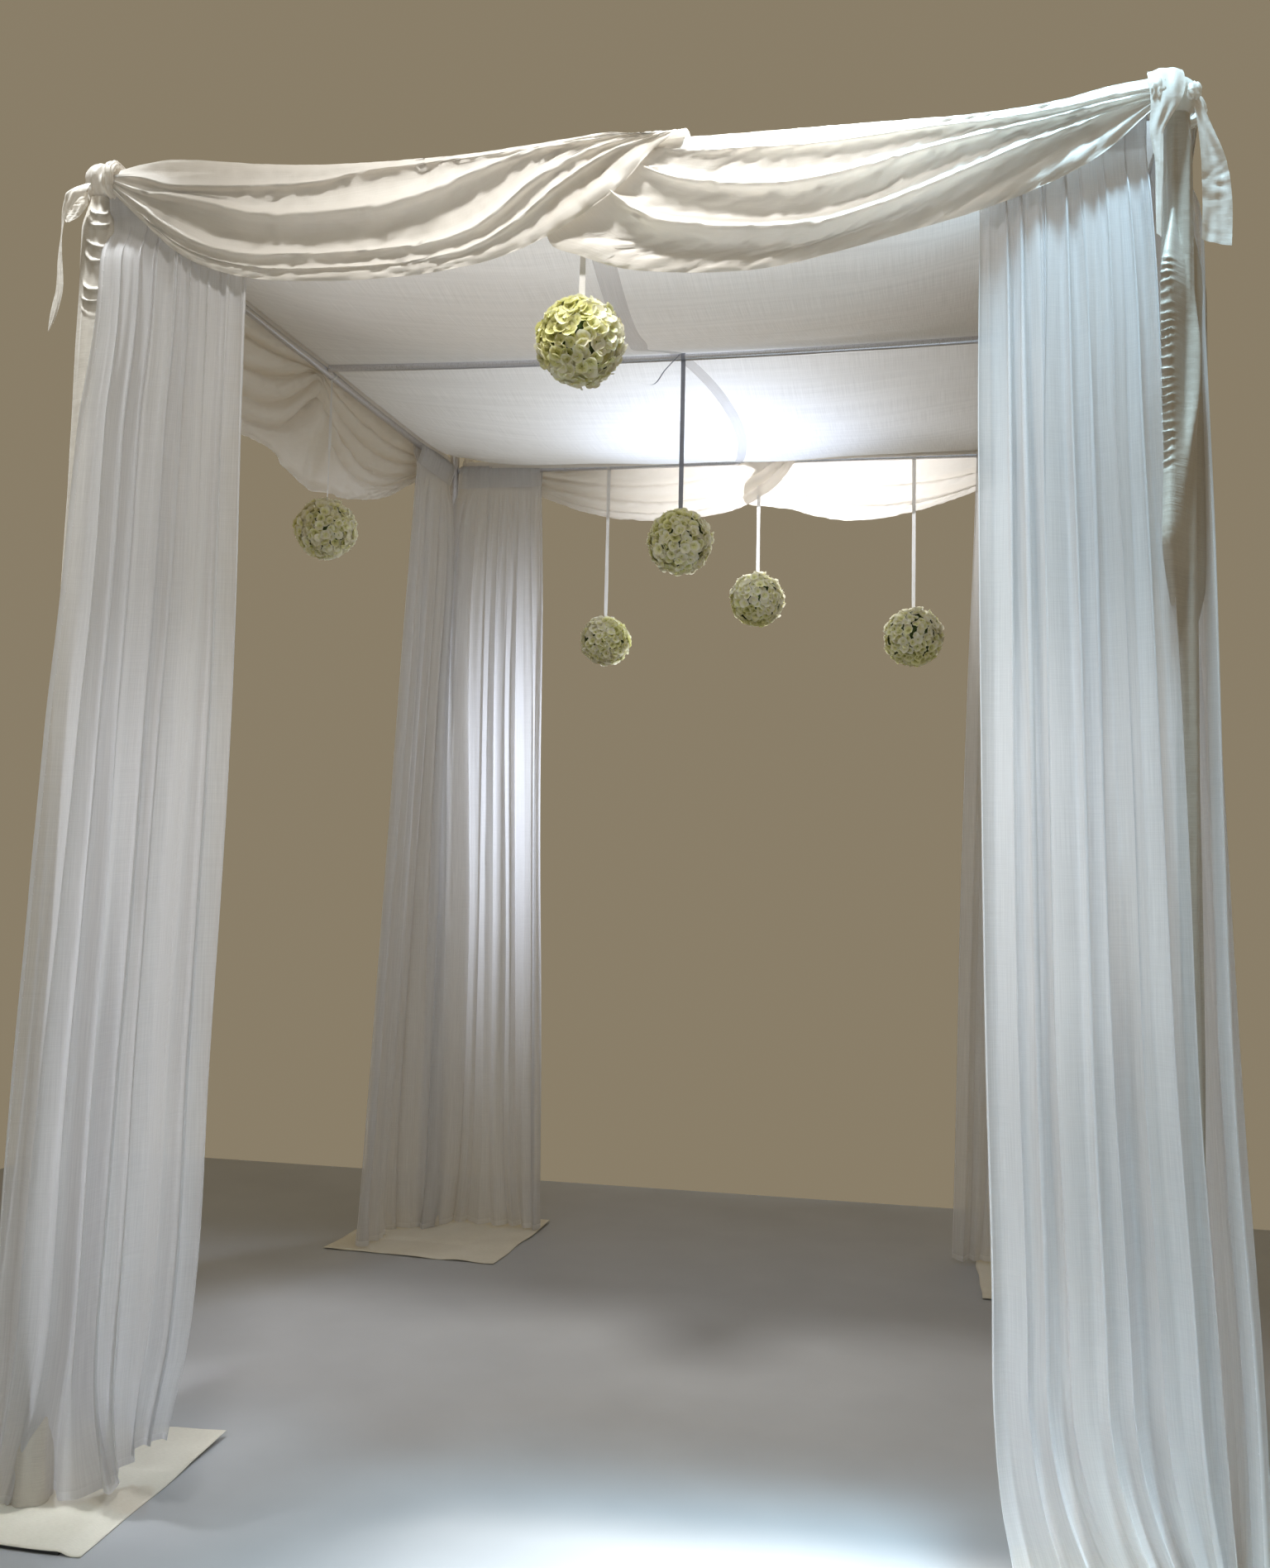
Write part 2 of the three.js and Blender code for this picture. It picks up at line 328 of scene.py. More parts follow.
@dataclass(frozen=True)
class Weft:
    """A rectangle of cloth as it is cut, and how finely it is divided.

    Args:
        width: size across, in metres.
        length: size down, in metres.
        columns: divisions across.
        rows: divisions down.
        finer: the share of the rows that the top part takes, and the share of the length that it is.
    """

    width: float
    length: float
    columns: int
    rows: int
    finer: tuple[float, float] = (1.0, 1.0)

    def hang(
        self,
        name: str,
        shape: Callable[[Array, Array], Array],
        material: Material,
        tube: bool = False,
    ) -> Piece:
        """Makes the cloth, and moves each point of it to its place.

        Args:
            name: the piece's name.
            shape: gives the world positions for fractions across and down.
            material: the cloth's finish.
            tube: whether the two sides are sewn to each other.

        Returns:
            The piece.
        """
        bm = bmesh.new()
        uv = bm.loops.layers.uv.new(UV_MAP)
        bmesh.ops.create_grid(
            bm, x_segments=self.columns, y_segments=self.rows, size=0.5, calc_uvs=True
        )
        rows_share, length_share = self.finer
        for vert in bm.verts:
            vert.co.y = 0.5 - np.interp(0.5 - vert.co.y, (0, rows_share, 1), (0, length_share, 1))
        for face in bm.faces:
            for loop in face.loops:
                x, y, _ = loop.vert.co
                loop[uv].uv = ((x + 0.5) * self.width, (0.5 - y) * self.length)
        flat = np.array([vert.co for vert in bm.verts])
        placed = shape(flat[:, 0] + 0.5, 0.5 - flat[:, 1])
        for vert, place in zip(bm.verts, placed):
            vert.co = place
        if tube:
            bmesh.ops.remove_doubles(bm, verts=bm.verts, dist=1e-5)
        return from_bmesh(name, bm, material)

    def loft(
        self, name: str, grid: Array, material: Material, tube: bool = False
    ) -> Piece:
        """Makes the cloth through a grid of points.

        Args:
            name: the piece's name.
            grid: positions of shape (rows + 1, columns + 1, 3).
            material: the cloth's finish.
            tube: whether the two sides are sewn to each other.

        Returns:
            The piece.
        """

        def shape(across: Array, down: Array) -> Array:
            """The grid's own points.

            Args:
                across: fractions across.
                down: fractions down.

            Returns:
                Their positions.
            """
            row = np.rint(down * self.rows).astype(int)
            column = np.rint(across * self.columns).astype(int)
            return grid[row, column]

        return self.hang(name, shape, material, tube)


def across_lines(lines: Array, steps: Sequence[int]) -> Array:
    """Smooth surface through lines, with a given number of rows between each two.

    Args:
        lines: positions of shape (lines, columns, 3).
        steps: the rows between a line and the next.

    Returns:
        Positions of shape (rows + 1, columns, 3).
    """
    gaps = np.maximum(np.linalg.norm(np.diff(lines, axis=0), axis=2), 1e-4)
    knots = np.concatenate([np.zeros((1, lines.shape[1])), np.cumsum(gaps, axis=0)])
    slopes = np.empty_like(lines)
    chords = np.diff(lines, axis=0) / gaps[..., None]
    slopes[0], slopes[-1] = chords[0], chords[-1]
    before, after = gaps[:-1, :, None], gaps[1:, :, None]
    slopes[1:-1] = (chords[:-1] * after + chords[1:] * before) / (before + after)
    rows = []
    for i, count in enumerate(steps):
        width = (knots[i + 1] - knots[i])[:, None]
        leave, arrive = width * slopes[i], width * slopes[i + 1]
        rows += [cubic(t, lines[i], lines[i + 1], leave, arrive) for t in np.arange(count) / count]
    rows.append(lines[-1])
    return np.array(rows)


def turned(
    name: str, profile: Points, material: Material, place: Matrix, steps: int = 40
) -> Piece:
    """A round piece: a profile turned a full circle about Z.

    Args:
        name: the piece's name.
        profile: (radius, height) points; it starts and ends on the axis or closes on itself.
        material: its finish.
        place: where the turned shape goes.
        steps: sides of the circle.

    Returns:
        The piece.
    """
    bm = bmesh.new()
    verts = [bm.verts.new((radius, 0, height)) for radius, height in profile]
    edges = [bm.edges.new(pair) for pair in zip(verts, verts[1:])]
    bmesh.ops.spin(
        bm,
        geom=verts + edges,
        cent=(0, 0, 0),
        axis=(0, 0, 1),
        angle=TURN,
        steps=steps,
        use_merge=True,
    )
    bmesh.ops.remove_doubles(bm, verts=bm.verts, dist=1e-6)
    bmesh.ops.recalc_face_normals(bm, faces=bm.faces)
    bmesh.ops.transform(bm, matrix=place, verts=bm.verts)
    piece = from_bmesh(name, bm, material)
    piece.data.set_sharp_from_angle(angle=math.radians(35))
    return piece


# Finishes


class Recipe:
    """A material under construction: nodes are added with their inputs as values or links."""

    def __init__(self, name: str) -> None:
        """Starts an empty material.

        Args:
            name: the finish's name.
        """
        self.material = bpy.data.materials.new(name)
        self.material.use_nodes = True
        self.tree = self.material.node_tree
        self.tree.nodes.clear()

    def add(self, kind: str, inputs: dict | None = None, **settings: object) -> bpy.types.Node:
        """Adds a node.

        Args:
            kind: the node's type, without its ShaderNode prefix.
            inputs: values or sockets for its inputs, by name or number.
            **settings: its properties.

        Returns:
            The node.
        """
        node = self.tree.nodes.new(f"ShaderNode{kind}")
        for key, value in settings.items():
            setattr(node, key, value)
        for key, value in (inputs or {}).items():
            socket = node.inputs[key]
            if isinstance(value, Socket):
                self.tree.links.new(value, socket)
            else:
                socket.default_value = value
        return node

    def cloth_place(self, scale: tuple[float, float] = (1, 1)) -> Socket:
        """The place on the flat cloth in metres, times a scale across and down."""
        uv = self.add("UVMap", uv_map=UV_MAP).outputs[0]
        return self.add("Mapping", {"Vector": uv, "Scale": (*scale, 1)}).outputs[0]

    def object_place(self, scale: Place) -> Socket:
        """The place in the row frame, times a scale for each axis."""
        place = self.add("TexCoord").outputs["Object"]
        return self.add("Mapping", {"Vector": place, "Scale": scale}).outputs[0]

    def noise(self, place: Socket, scale: float, detail: float = 2.0) -> Socket:
        """A noise value from 0 to 1 with most of it near one half."""
        return self.add("TexNoise", {"Vector": place, "Scale": scale, "Detail": detail}).outputs[0]

    def maths(self, operation: str, *values: object) -> Socket:
        """The result of a Math node on values or sockets."""
        return self.add("Math", dict(enumerate(values)), operation=operation).outputs[0]

    def blend(self, first: Socket, share: float, second: Socket) -> Socket:
        """The sum of a share of one value and the rest of another."""
        parts = self.maths("MULTIPLY", first, share), self.maths("MULTIPLY", second, 1 - share)
        return self.maths("ADD", *parts)

    def ramp(self, value: Socket, *stops: tuple[float, Colour]) -> Socket:
        """A colour that follows a value.

        Args:
            value: the value.
            *stops: (place, colour) pairs.

        Returns:
            The colour.
        """
        node = self.add("ValToRGB", {0: value})
        elements = node.color_ramp.elements
        while len(elements) < len(stops):
            elements.new(0.5)
        for element, (place, colour) in zip(elements, stops):
            element.position = place
            element.color = (*colour, 1)
        return node.outputs[0]

    def span(
        self, value: Socket, low: float, high: float, first: float, last: float
    ) -> Socket:
        """The value mapped from low..high to first..last, and held at the ends."""
        return self.add("MapRange", {0: value, 1: low, 2: high, 3: first, 4: last}).outputs[0]

    def bump(self, height: Socket, strength: float, distance: float) -> Socket:
        """A normal from a height."""
        return self.add("Bump", {"Height": height, "Strength": strength, "Distance": distance}).outputs[0]

    def surface(
        self,
        colour: Socket,
        roughness: float | Socket,
        normal: Socket | None = None,
        specular: float = 0.5,
        sheen: float = 0.0,
        sheen_roughness: float = 0.5,
        metallic: float = 0.0,
    ) -> Socket:
        """The main shader.

        Args:
            colour: its base colour.
            roughness: its roughness.
            normal: its bumped normal, if it has one.
            specular: strength of its gloss.
            sheen: strength of the soft light at grazing angles.
            sheen_roughness: how widely that light spreads.
            metallic: 1 for bare metal.

        Returns:
            The shader.
        """
        inputs = {
            "Base Color": colour,
            "Roughness": roughness,
            "Specular IOR Level": specular,
            "Sheen Weight": sheen,
            "Sheen Roughness": sheen_roughness,
            "Metallic": metallic,
        }
        if normal is not None:
            inputs["Normal"] = normal
        return self.add("BsdfPrincipled", inputs).outputs[0]

    def glowing(self, surface: Socket, colour: tuple | Socket, normal: Socket, glow: float) -> Socket:
        """A surface that also passes a share of the light, glow, to its other side."""
        through = self.add("BsdfTranslucent", {"Color": colour, "Normal": normal}).outputs[0]
        return self.add("MixShader", {0: glow, 1: surface, 2: through}).outputs[0]

    def done(self, shader: Socket) -> Material:
        """Links the shader to the output and returns the material."""
        self.add("OutputMaterial", {"Surface": shader}).is_active_output = True
        return self.material


@dataclass(frozen=True)
class Finish:
    """A finish. Each kind lays out its own shader.

    Args:
        name: the finish's name.
    """

    name: str

    def shader(self, r: Recipe) -> Socket:
        """Lays out the shader in a recipe."""
        raise NotImplementedError

    def build(self) -> Material:
        """Makes the material."""
        r = Recipe(self.name)
        return r.done(self.shader(r))


@dataclass(frozen=True)
class Voile(Finish):
    """Sheer plain-woven cloth that lets light and sight through.

    Args:
        pale: its colour where the threads lie open.
        deep: its colour where they lie close.
        cover: how much of what is behind it one layer hides.
        glow: the share of light that it passes to its other side.
        hem: width of the doubled edges, or 0 for none.
        size: the cloth's width and length.
        cloud: how often its tone drifts in a metre, across and down.
        thin: how much less the cloth hides beside its edges, where it hangs in a single layer.
        thin_reach: how far in from the edges that goes.
        tack_gap: distance from one tack of the hem to the next.
        tack_size: how wide a tack is.
    """

    pale: Colour
    deep: Colour
    cover: float
    glow: float
    hem: float = 0.018
    size: tuple[float, float] = (0.85, 3.05)
    cloud: tuple[float, float] = (3, 1.2)
    thin: float = 0.20
    thin_reach: float = 0.075
    tack_gap: float = 0.036
    tack_size: float = 0.0032

    def shader(self, r: Recipe) -> Socket:
        """Lays out the shader.

        Args:
            r: the recipe.

        Returns:
            The shader.
        """
        down = r.noise(r.cloth_place((520, 7)), 1.0, 3)
        across = r.noise(r.cloth_place((12, 700)), 1.0, 3)
        threads = r.blend(down, 0.65, across)
        cloud = r.noise(r.cloth_place(self.cloud), 1.0, 2)
        tone = r.blend(threads, 0.6, cloud)
        colour = r.ramp(tone, (0.36, self.deep), (0.62, self.pale))
        cover = r.span(threads, 0.3, 0.7, self.cover - 0.05, self.cover + 0.04)
        height = threads
        if self.hem:
            cover, height = self.hemmed(r, cover, threads)
        normal = r.bump(height, 0.25, 0.0006)
        surface = r.surface(colour, 0.75, normal, specular=0.25, sheen=0.25, sheen_roughness=0.45)
        cloth = r.glowing(surface, colour, normal, self.glow)
        clear = r.add("BsdfTransparent", {"Color": (1, 1, 1, 1)}).outputs[0]
        return r.add("MixShader", {0: cover, 1: clear, 2: cloth}).outputs[0]

    def hemmed(self, r: Recipe, cover: Socket, threads: Socket) -> tuple[Socket, Socket]:
        """Doubles the cloth along its edges, and tacks the hem at even steps.

        Args:
            r: the recipe.
            cover: how much one layer hides.
            threads: the weave.

        Returns:
            The cover and the height of the surface.
        """
        uv = r.add("SeparateXYZ", {0: r.cloth_place()})
        width, length = self.size
        side = r.maths("MINIMUM", uv.outputs[0], r.maths("SUBTRACT", width, uv.outputs[0]))
        edge = r.maths("MINIMUM", side, r.maths("SUBTRACT", length, uv.outputs[1]))
        single = r.span(side, 0.6 * self.thin_reach, self.thin_reach, self.thin, 0)
        cover = r.maths("SUBTRACT", cover, single)
        doubled = r.maths("MULTIPLY", r.maths("LESS_THAN", edge, self.hem), 1 - (1 - self.cover) ** 2)
        step = r.maths("PINGPONG", uv.outputs[1], self.tack_gap / 2)
        aside = r.maths("SUBTRACT", side, self.hem)
        reach = r.maths("ADD", r.maths("POWER", step, 2.0), r.maths("POWER", aside, 2.0))
        tack = r.span(r.maths("SQRT", reach), 0.4 * self.tack_size, self.tack_size, 1, 0)
        cover = r.maths("MAXIMUM", r.maths("MAXIMUM", cover, doubled), tack)
        return cover, r.maths("ADD", threads, r.maths("MULTIPLY", tack, 2.0))


@dataclass(frozen=True)
class Dupioni(Finish):
    """Satin-faced slub cloth: long thick threads across a fine smooth ground.

    Args:
        pale: its colour on the raised threads.
        deep: its colour between them.
        lit: its colour where light comes through it from behind.
        glow: the share of light that it passes to its other side.
    """

    pale: Colour
    deep: Colour
    lit: Colour = (0.95, 0.89, 0.82)
    glow: float = 0.34

    def shader(self, r: Recipe) -> Socket:
        """Lays out the shader.

        Args:
            r: the recipe.

        Returns:
            The shader.
        """
        slubs = r.noise(r.cloth_place((16, 520)), 1.0, 3)
        ground = r.noise(r.cloth_place((900, 60)), 1.0, 2)
        threads = r.blend(slubs, 0.7, ground)
        cloud = r.noise(r.cloth_place((5, 9)), 1.0, 2)
        tone = r.blend(threads, 0.65, cloud)
        colour = r.ramp(tone, (0.34, self.deep), (0.64, self.pale))
        crumple = r.noise(r.cloth_place((26, 44)), 1.0, 3)
        height = r.maths("ADD", threads, r.maths("MULTIPLY", crumple, 2.2))
        normal = r.bump(height, 0.4, 0.0011)
        shine = r.span(slubs, 0.3, 0.7, 0.36, 0.52)
        surface = r.surface(colour, shine, normal, sheen=0.35, sheen_roughness=0.35)
        return r.glowing(surface, (*self.lit, 1), normal, self.glow)


@dataclass(frozen=True)
class Cotton(Finish):
    """Thick plain-woven cotton.

    Args:
        pale: its colour on the raised threads.
        deep: its colour between them.
    """

    pale: Colour
    deep: Colour

    def shader(self, r: Recipe) -> Socket:
        """Lays out the shader.

        Args:
            r: the recipe.

        Returns:
            The shader.
        """
        lines = {"Scale": 1.0, "Distortion": 1.5}
        warp = r.add("TexWave", {"Vector": r.cloth_place((420, 0)), **lines})
        weft = r.add("TexWave", {"Vector": r.cloth_place((0, 420)), **lines}, bands_direction="Y")
        weave = r.maths("MULTIPLY", warp.outputs[0], weft.outputs[0])
        slubs = r.noise(r.cloth_place((90, 500)), 1.0, 3)
        cloud = r.noise(r.cloth_place((7, 7)), 1.0, 4)
        tone = r.blend(slubs, 0.5, cloud)
        colour = r.ramp(tone, (0.35, self.deep), (0.65, self.pale))
        height = r.maths("ADD", r.maths("MULTIPLY", weave, 0.5), slubs)
        roughness = r.span(slubs, 0.3, 0.7, 0.8, 0.95)
        return r.surface(colour, roughness, r.bump(height, 0.4, 0.0008), specular=0.2)


@dataclass(frozen=True)
class Metal(Finish):
    """Drawn or plated metal with fine marks along the tube.

    Args:
        colour: its base colour.
        roughness: mean roughness.
        marks: depth of the marks, from 0 to 1.
        metallic: 1 for bare metal, 0 for paint.
    """

    colour: Colour
    roughness: float
    marks: float
    metallic: float = 1.0

    def shader(self, r: Recipe) -> Socket:
        """Lays out the shader.

        Args:
            r: the recipe.

        Returns:
            The shader.
        """
        streaks = r.noise(r.object_place((60, 60, 6)), 8.0, 4)
        specks = r.noise(r.object_place((1, 1, 1)), 220.0, 3)
        deep = tuple(0.82 * c for c in self.colour)
        colour = r.ramp(streaks, (0.35, deep), (0.6, self.colour))
        rough = r.span(streaks, 0.3, 0.7, self.roughness * 0.75, self.roughness * 1.3)
        height = r.blend(streaks, 0.6, specks)
        normal = r.bump(height, self.marks, 0.0004)
        return r.surface(colour, rough, normal, metallic=self.metallic)


@dataclass(frozen=True)
class Petals(Finish):
    """Petals, ivory at the rim and green towards the heart, each floret in its own tint.

    Args:
        rim: the colour at the rim.
        middle: the colour between rim and heart.
        heart: the colour at the heart.
    """

    rim: Colour
    middle: Colour
    heart: Colour

    def shader(self, r: Recipe) -> Socket:
        """Lays out the shader.

        Args:
            r: the recipe.

        Returns:
            The shader.
        """
        tint = r.add("Attribute", attribute_name=TINT).outputs["Fac"]
        veins = r.noise(r.object_place((1, 1, 1)), 260.0, 2)
        tone = r.maths("ADD", tint, r.span(veins, 0.3, 0.7, -0.10, 0.10))
        colour = r.ramp(tone, (0.03, self.heart), (0.32, self.middle), (0.62, self.rim))
        normal = r.bump(veins, 0.35, 0.0006)
        surface = r.surface(colour, r.span(veins, 0.3, 0.7, 0.5, 0.72), normal, specular=0.3)
        return r.glowing(surface, colour, normal, 0.3)


@dataclass(frozen=True)
class Foam(Finish):
    """Wet green floral foam under the petals.

    Args:
        pale: the colour of its raised grains.
        deep: the colour between them.
    """

    pale: Colour
    deep: Colour

    def shader(self, r: Recipe) -> Socket:
        """Lays out the shader.

        Args:
            r: the recipe.

        Returns:
            The shader.
        """
        grain = r.noise(r.object_place((1, 1, 1)), 120.0, 4)
        colour = r.ramp(grain, (0.35, self.deep), (0.65, self.pale))
        return r.surface(colour, 0.9, r.bump(grain, 0.6, 0.002))


@dataclass(frozen=True)
class Wardrobe:
    """All finishes of the canopy, made once."""

    sheer: Material
    ceiling: Material
    seam: Material
    satin: Material
    sleeve: Material
    dull_sleeve: Material
    cotton: Material
    aluminium: Material
    chrome: Material
    steel: Material
    petals: Material
    foam: Material
    ribbon: Material
    grey_ribbon: Material

    @classmethod
    def sewn(cls) -> "Wardrobe":
        """Makes every finish.

        Returns:
            The finishes.
        """
        satin = Dupioni("ivory_dupioni", (0.94, 0.915, 0.86), (0.87, 0.835, 0.775))
        finishes = dict(
            sheer=Voile("sheer_voile", (0.85, 0.85, 0.86), (0.77, 0.77, 0.79), 0.90, 0.40),
            ceiling=Voile(
                "ceiling_voile", (0.86, 0.85, 0.85), (0.76, 0.75, 0.75), 0.96, 0.42, hem=0, cloud=(1.5, 45)
            ),
            seam=Voile("ceiling_seam", (0.80, 0.78, 0.79), (0.73, 0.71, 0.72), 0.55, 0.3, hem=0),
            satin=satin,
            # The sleeves' satin is darker than the swags' satin: painted shade, for the shade they hang in
            # and the dark room that their sheen reflects.
            sleeve=Dupioni("sleeve_satin_painted_shade", (0.76, 0.72, 0.65), (0.60, 0.56, 0.50), satin.lit, 0.04),
            # The front right sleeve's darker satin is painted shade: it hangs in the deep shade of the slit
            # between its drapes.
            dull_sleeve=Dupioni(
                "dull_sleeve_satin", (0.58, 0.54, 0.47), (0.44, 0.40, 0.34), satin.lit, 0.02
            ),
            cotton=Cotton("ivory_cotton", (0.86, 0.82, 0.72), (0.74, 0.70, 0.60)),
            aluminium=Metal("drawn_aluminium", (0.74, 0.74, 0.78), 0.34, 0.12),
            chrome=Metal("chrome_cap", (0.86, 0.87, 0.89), 0.10, 0.04),
            steel=Metal("black_steel", (0.03, 0.03, 0.032), 0.55, 0.5, metallic=0.0),
            petals=Petals(
                "hydrangea_petals", (0.97, 0.94, 0.78), (0.88, 0.86, 0.42), (0.48, 0.47, 0.13)
            ),
            foam=Foam("floral_foam", (0.10, 0.15, 0.04), (0.03, 0.05, 0.015)),
            ribbon=Dupioni(
                "white_ribbon", (0.88, 0.87, 0.86), (0.78, 0.77, 0.76), (0.9, 0.9, 0.9), 0.25
            ),
            # The middle ribbon's dark grey-blue is painted shade.
            grey_ribbon=Dupioni(
                "grey_ribbon", (0.36, 0.38, 0.45), (0.26, 0.28, 0.34), (0.3, 0.3, 0.35), 0.1
            ),
        )
        return cls(**{name: finish.build() for name, finish in finishes.items()})


@dataclass
class Workshop:
    """The finishes at hand. It hands finished pieces to the frame, and counts them.

    Args:
        finishes: the finishes.
        count: how many pieces have been handed over.
    """

    finishes: Wardrobe
    count: int = 0

    def keep(self, piece: Piece, slot: str, *nodes: str) -> None:
        """Ties a piece to the body, hides the nodes that it stands for, and counts it.

        Args:
            piece: the finished piece.
            slot: the record's material slot; not used.
            *nodes: nodes that it replaces.
        """
        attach(piece, "root")
        if nodes:
            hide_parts(*nodes)
        self.count += 1
        LOG.info("%s: %d faces", piece.name, len(piece.data.polygons))


# The pipe frame


@dataclass
class PipeFrame:
    """Poles, crossbars and foot plates.

    Args:
        shop: the workshop.
        pole_radius: outer radius of a pole.
        bore: its inner radius.
        cap_radius: radius of its cap.
        cap_height: height of the cap.
        closed: depth of the tube's closed top under the cap.
        short_by: how much lower the poles under a knot stand.
        plug_radius: radius of a crossbar's end plugs.
        plug_length: their length.
        edge: size of the bevels.
        sides: sides of each round piece.
    """

    shop: Workshop
    pole_radius: float = 0.019
    bore: float = 0.016
    cap_radius: float = 0.022
    cap_height: float = 0.014
    closed: float = 0.004
    short_by: float = 0.022
    plug_radius: float = 0.013
    plug_length: float = 0.012
    edge: float = 0.0015
    sides: int = 32

    def build(self) -> None:
        """Builds the pieces of the pipe frame."""
        for corner in Corner:
            self.upright(corner)
            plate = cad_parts[f"base_plate_{corner.label}"]
            plate.data.materials.clear()
            plate.data.materials.append(self.shop.finishes.steel)
        for side in Side:
            self.crossbar(side)
        self.middle_bar()

    def upright(self, corner: Corner) -> None:
        """One pole with its cap. The poles under a knot stand a little lower.

        Args:
            corner: which pole.
        """
        low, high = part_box(f"upright_{corner.label}")
        top = high.z - (self.short_by if corner.signs[1] < 0 else 0)
        collar = top - self.cap_height
        r, cap, edge = self.pole_radius, self.cap_radius, self.edge
        tube = [
            (0, collar - self.closed),
            (self.bore, collar - self.closed),
            (self.bore, low.z),
            (r - edge, low.z),
            (r, low.z + edge),
            (r, collar),
            (0, collar),
        ]
        dome = [
            (0, collar),
            (cap - edge, collar),
            (cap, collar + edge),
            (cap, top - 5 * edge),
            (cap - edge, top - 2 * edge),
            (cap - 4 * edge, top - edge / 2),
            (0, top),
        ]
        place = Matrix.Translation(corner.pole)
        pole = turned(f"pole_{corner.label}", tube, self.shop.finishes.aluminium, place, self.sides)
        self.shop.keep(pole, "aluminium", f"upright_{corner.label}")
        lid = turned(f"pole_cap_{corner.label}", dome, self.shop.finishes.chrome, place, self.sides)
        self.shop.keep(lid, "aluminium", f"upright_{corner.label}")

    def crossbar(self, side: Side) -> None:
        """One bar between two poles.

        Args:
            side: which bar.
        """
        low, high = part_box(f"crossbar_{side.value}")
        end = (high.x - low.x if side.crosswise else high.y - low.y) / 2
        neck = end - self.plug_length
        r, plug, edge = BAR_RADIUS, self.plug_radius, self.edge
        half = [
            (0, end),
            (plug - edge, end),
            (plug, end - edge),
            (plug, neck),
            (r - edge, neck),
            (r, neck - edge),
        ]
        profile = half + [(radius, -height) for radius, height in reversed(half)]
        tip = Euler((0, math.pi / 2, 0) if side.crosswise else (math.pi / 2, 0, 0)).to_matrix().to_4x4()
        place = Matrix.Translation((low + high) / 2) @ tip
        bar = turned(f"bar_{side.value}", profile, self.shop.finishes.aluminium, place, self.sides)
        self.shop.keep(bar, "aluminium", f"crossbar_{side.value}")

    def middle_bar(self) -> None:
        """The slim bar under the middle of the ceiling cloth, bowed by its load."""
        left, right = MIDDLE_LOW.x, MIDDLE_HIGH.x
        weft = Weft(TURN * MIDDLE_RADIUS, right - left, 20, 60)

        def shape(around: Array, down: Array) -> Array:
            """A tube round the bowed centre line.

            Args:
                around: fractions of the way round.
                down: fractions of its length.

            Returns:
                World positions.
            """
            x = mix(left, right, down)
            angle = TURN * around
            z = BAR_HEIGHT - MIDDLE_BOW * (1 - (x / right) ** 2)
            ring = MIDDLE_RADIUS * np.sin(angle), MIDDLE_RADIUS * np.cos(angle)
            return np.stack([x, ring[0], z + ring[1]], axis=-1)

        bar = weft.hang("bar_middle", shape, self.shop.finishes.aluminium, tube=True)
        self.shop.keep(bar, "aluminium", "crossbar_middle")


# Foot cloths


@dataclass
class FootCloth:
    """A square of cotton laid over a foot plate, with a slit for the pole.

    Args:
        corner: which pole.
        shop: the workshop.
        shift: how far its middle lies from the pole.
        turn: its turn about Z, in degrees.
        curl: the corner that lifts, as signs of its own X and Y, and how far.
        half: half its side.
        thickness: its thickness.
        slope: how far out it comes down from the plate's edge to the floor.
        lift: height of its upper face on the floor.
        waver: how far its edges stray from straight.
        ripple: height of its waves on the floor.
        seed: makes its edges and waves its own.
    """

    corner: Corner
    shop: Workshop
    shift: tuple[float, float] = (0.0, 0.0)
    turn: float = 0.0
    curl: tuple[int, int, float] = (1, 1, 0.0)
    half: float = 0.33
    thickness: float = 0.0016
    slope: float = 0.03
    lift: float = 0.0022
    waver: float = 0.004
    ripple: float = 0.0022
    seed: int = 1

    def shape(self, across: Array, down: Array) -> Array:
        """World positions of the cloth's upper face.

        Args:
            across: fractions across the cloth.
            down: fractions down it.

        Returns:
            An array of shape (..., 3).
        """
        x, y = (across * 2 - 1) * self.half, (1 - down * 2) * self.half
        wander = Wander(self.seed)
        edge_x = self.waver * wander.at(y * 3, 0.2) * np.abs(x) / self.half
        edge_y = self.waver * wander.at(x * 3, 0.7) * np.abs(y) / self.half
        a = math.radians(self.turn)
        wx = (x + edge_x) * math.cos(a) - (y + edge_y) * math.sin(a) + self.shift[0]
        wy = (x + edge_x) * math.sin(a) + (y + edge_y) * math.cos(a) + self.shift[1]
        far = np.maximum(np.abs(wx), np.abs(wy)) - PLATE_HALF
        over = 1 - smooth(0.0, self.slope, far)
        z = self.lift + over * PLATE_LIFT
        free = smooth(0.02, 0.10, far)
        z = z + free * self.ripple * (1 + wander.at(x * 5, y * 5))
        sx, sy, height = self.curl
        corner = smooth(0.35, 1.0, (sx * x / self.half + sy * y / self.half) / 2)
        z = z + height * corner**2
        px, py = self.corner.pole.xy
        return np.stack([px + wx, py + wy, z], axis=-1)

    def build(self) -> None:
        """Makes the cloth."""
        name = self.corner.label
        flat = (2 * self.half, 2 * self.half)
        weft = Weft(*flat, 66, 66)
        piece = weft.hang(f"foot_cloth_{name}", self.shape, self.shop.finishes.cotton)
        solid = piece.modifiers.new("thickness", "SOLIDIFY")
        solid.thickness = self.thickness
        solid.offset = -1
        self.shop.keep(piece, "base_cloth", f"base_cloth_{name}")


# Pole sleeves


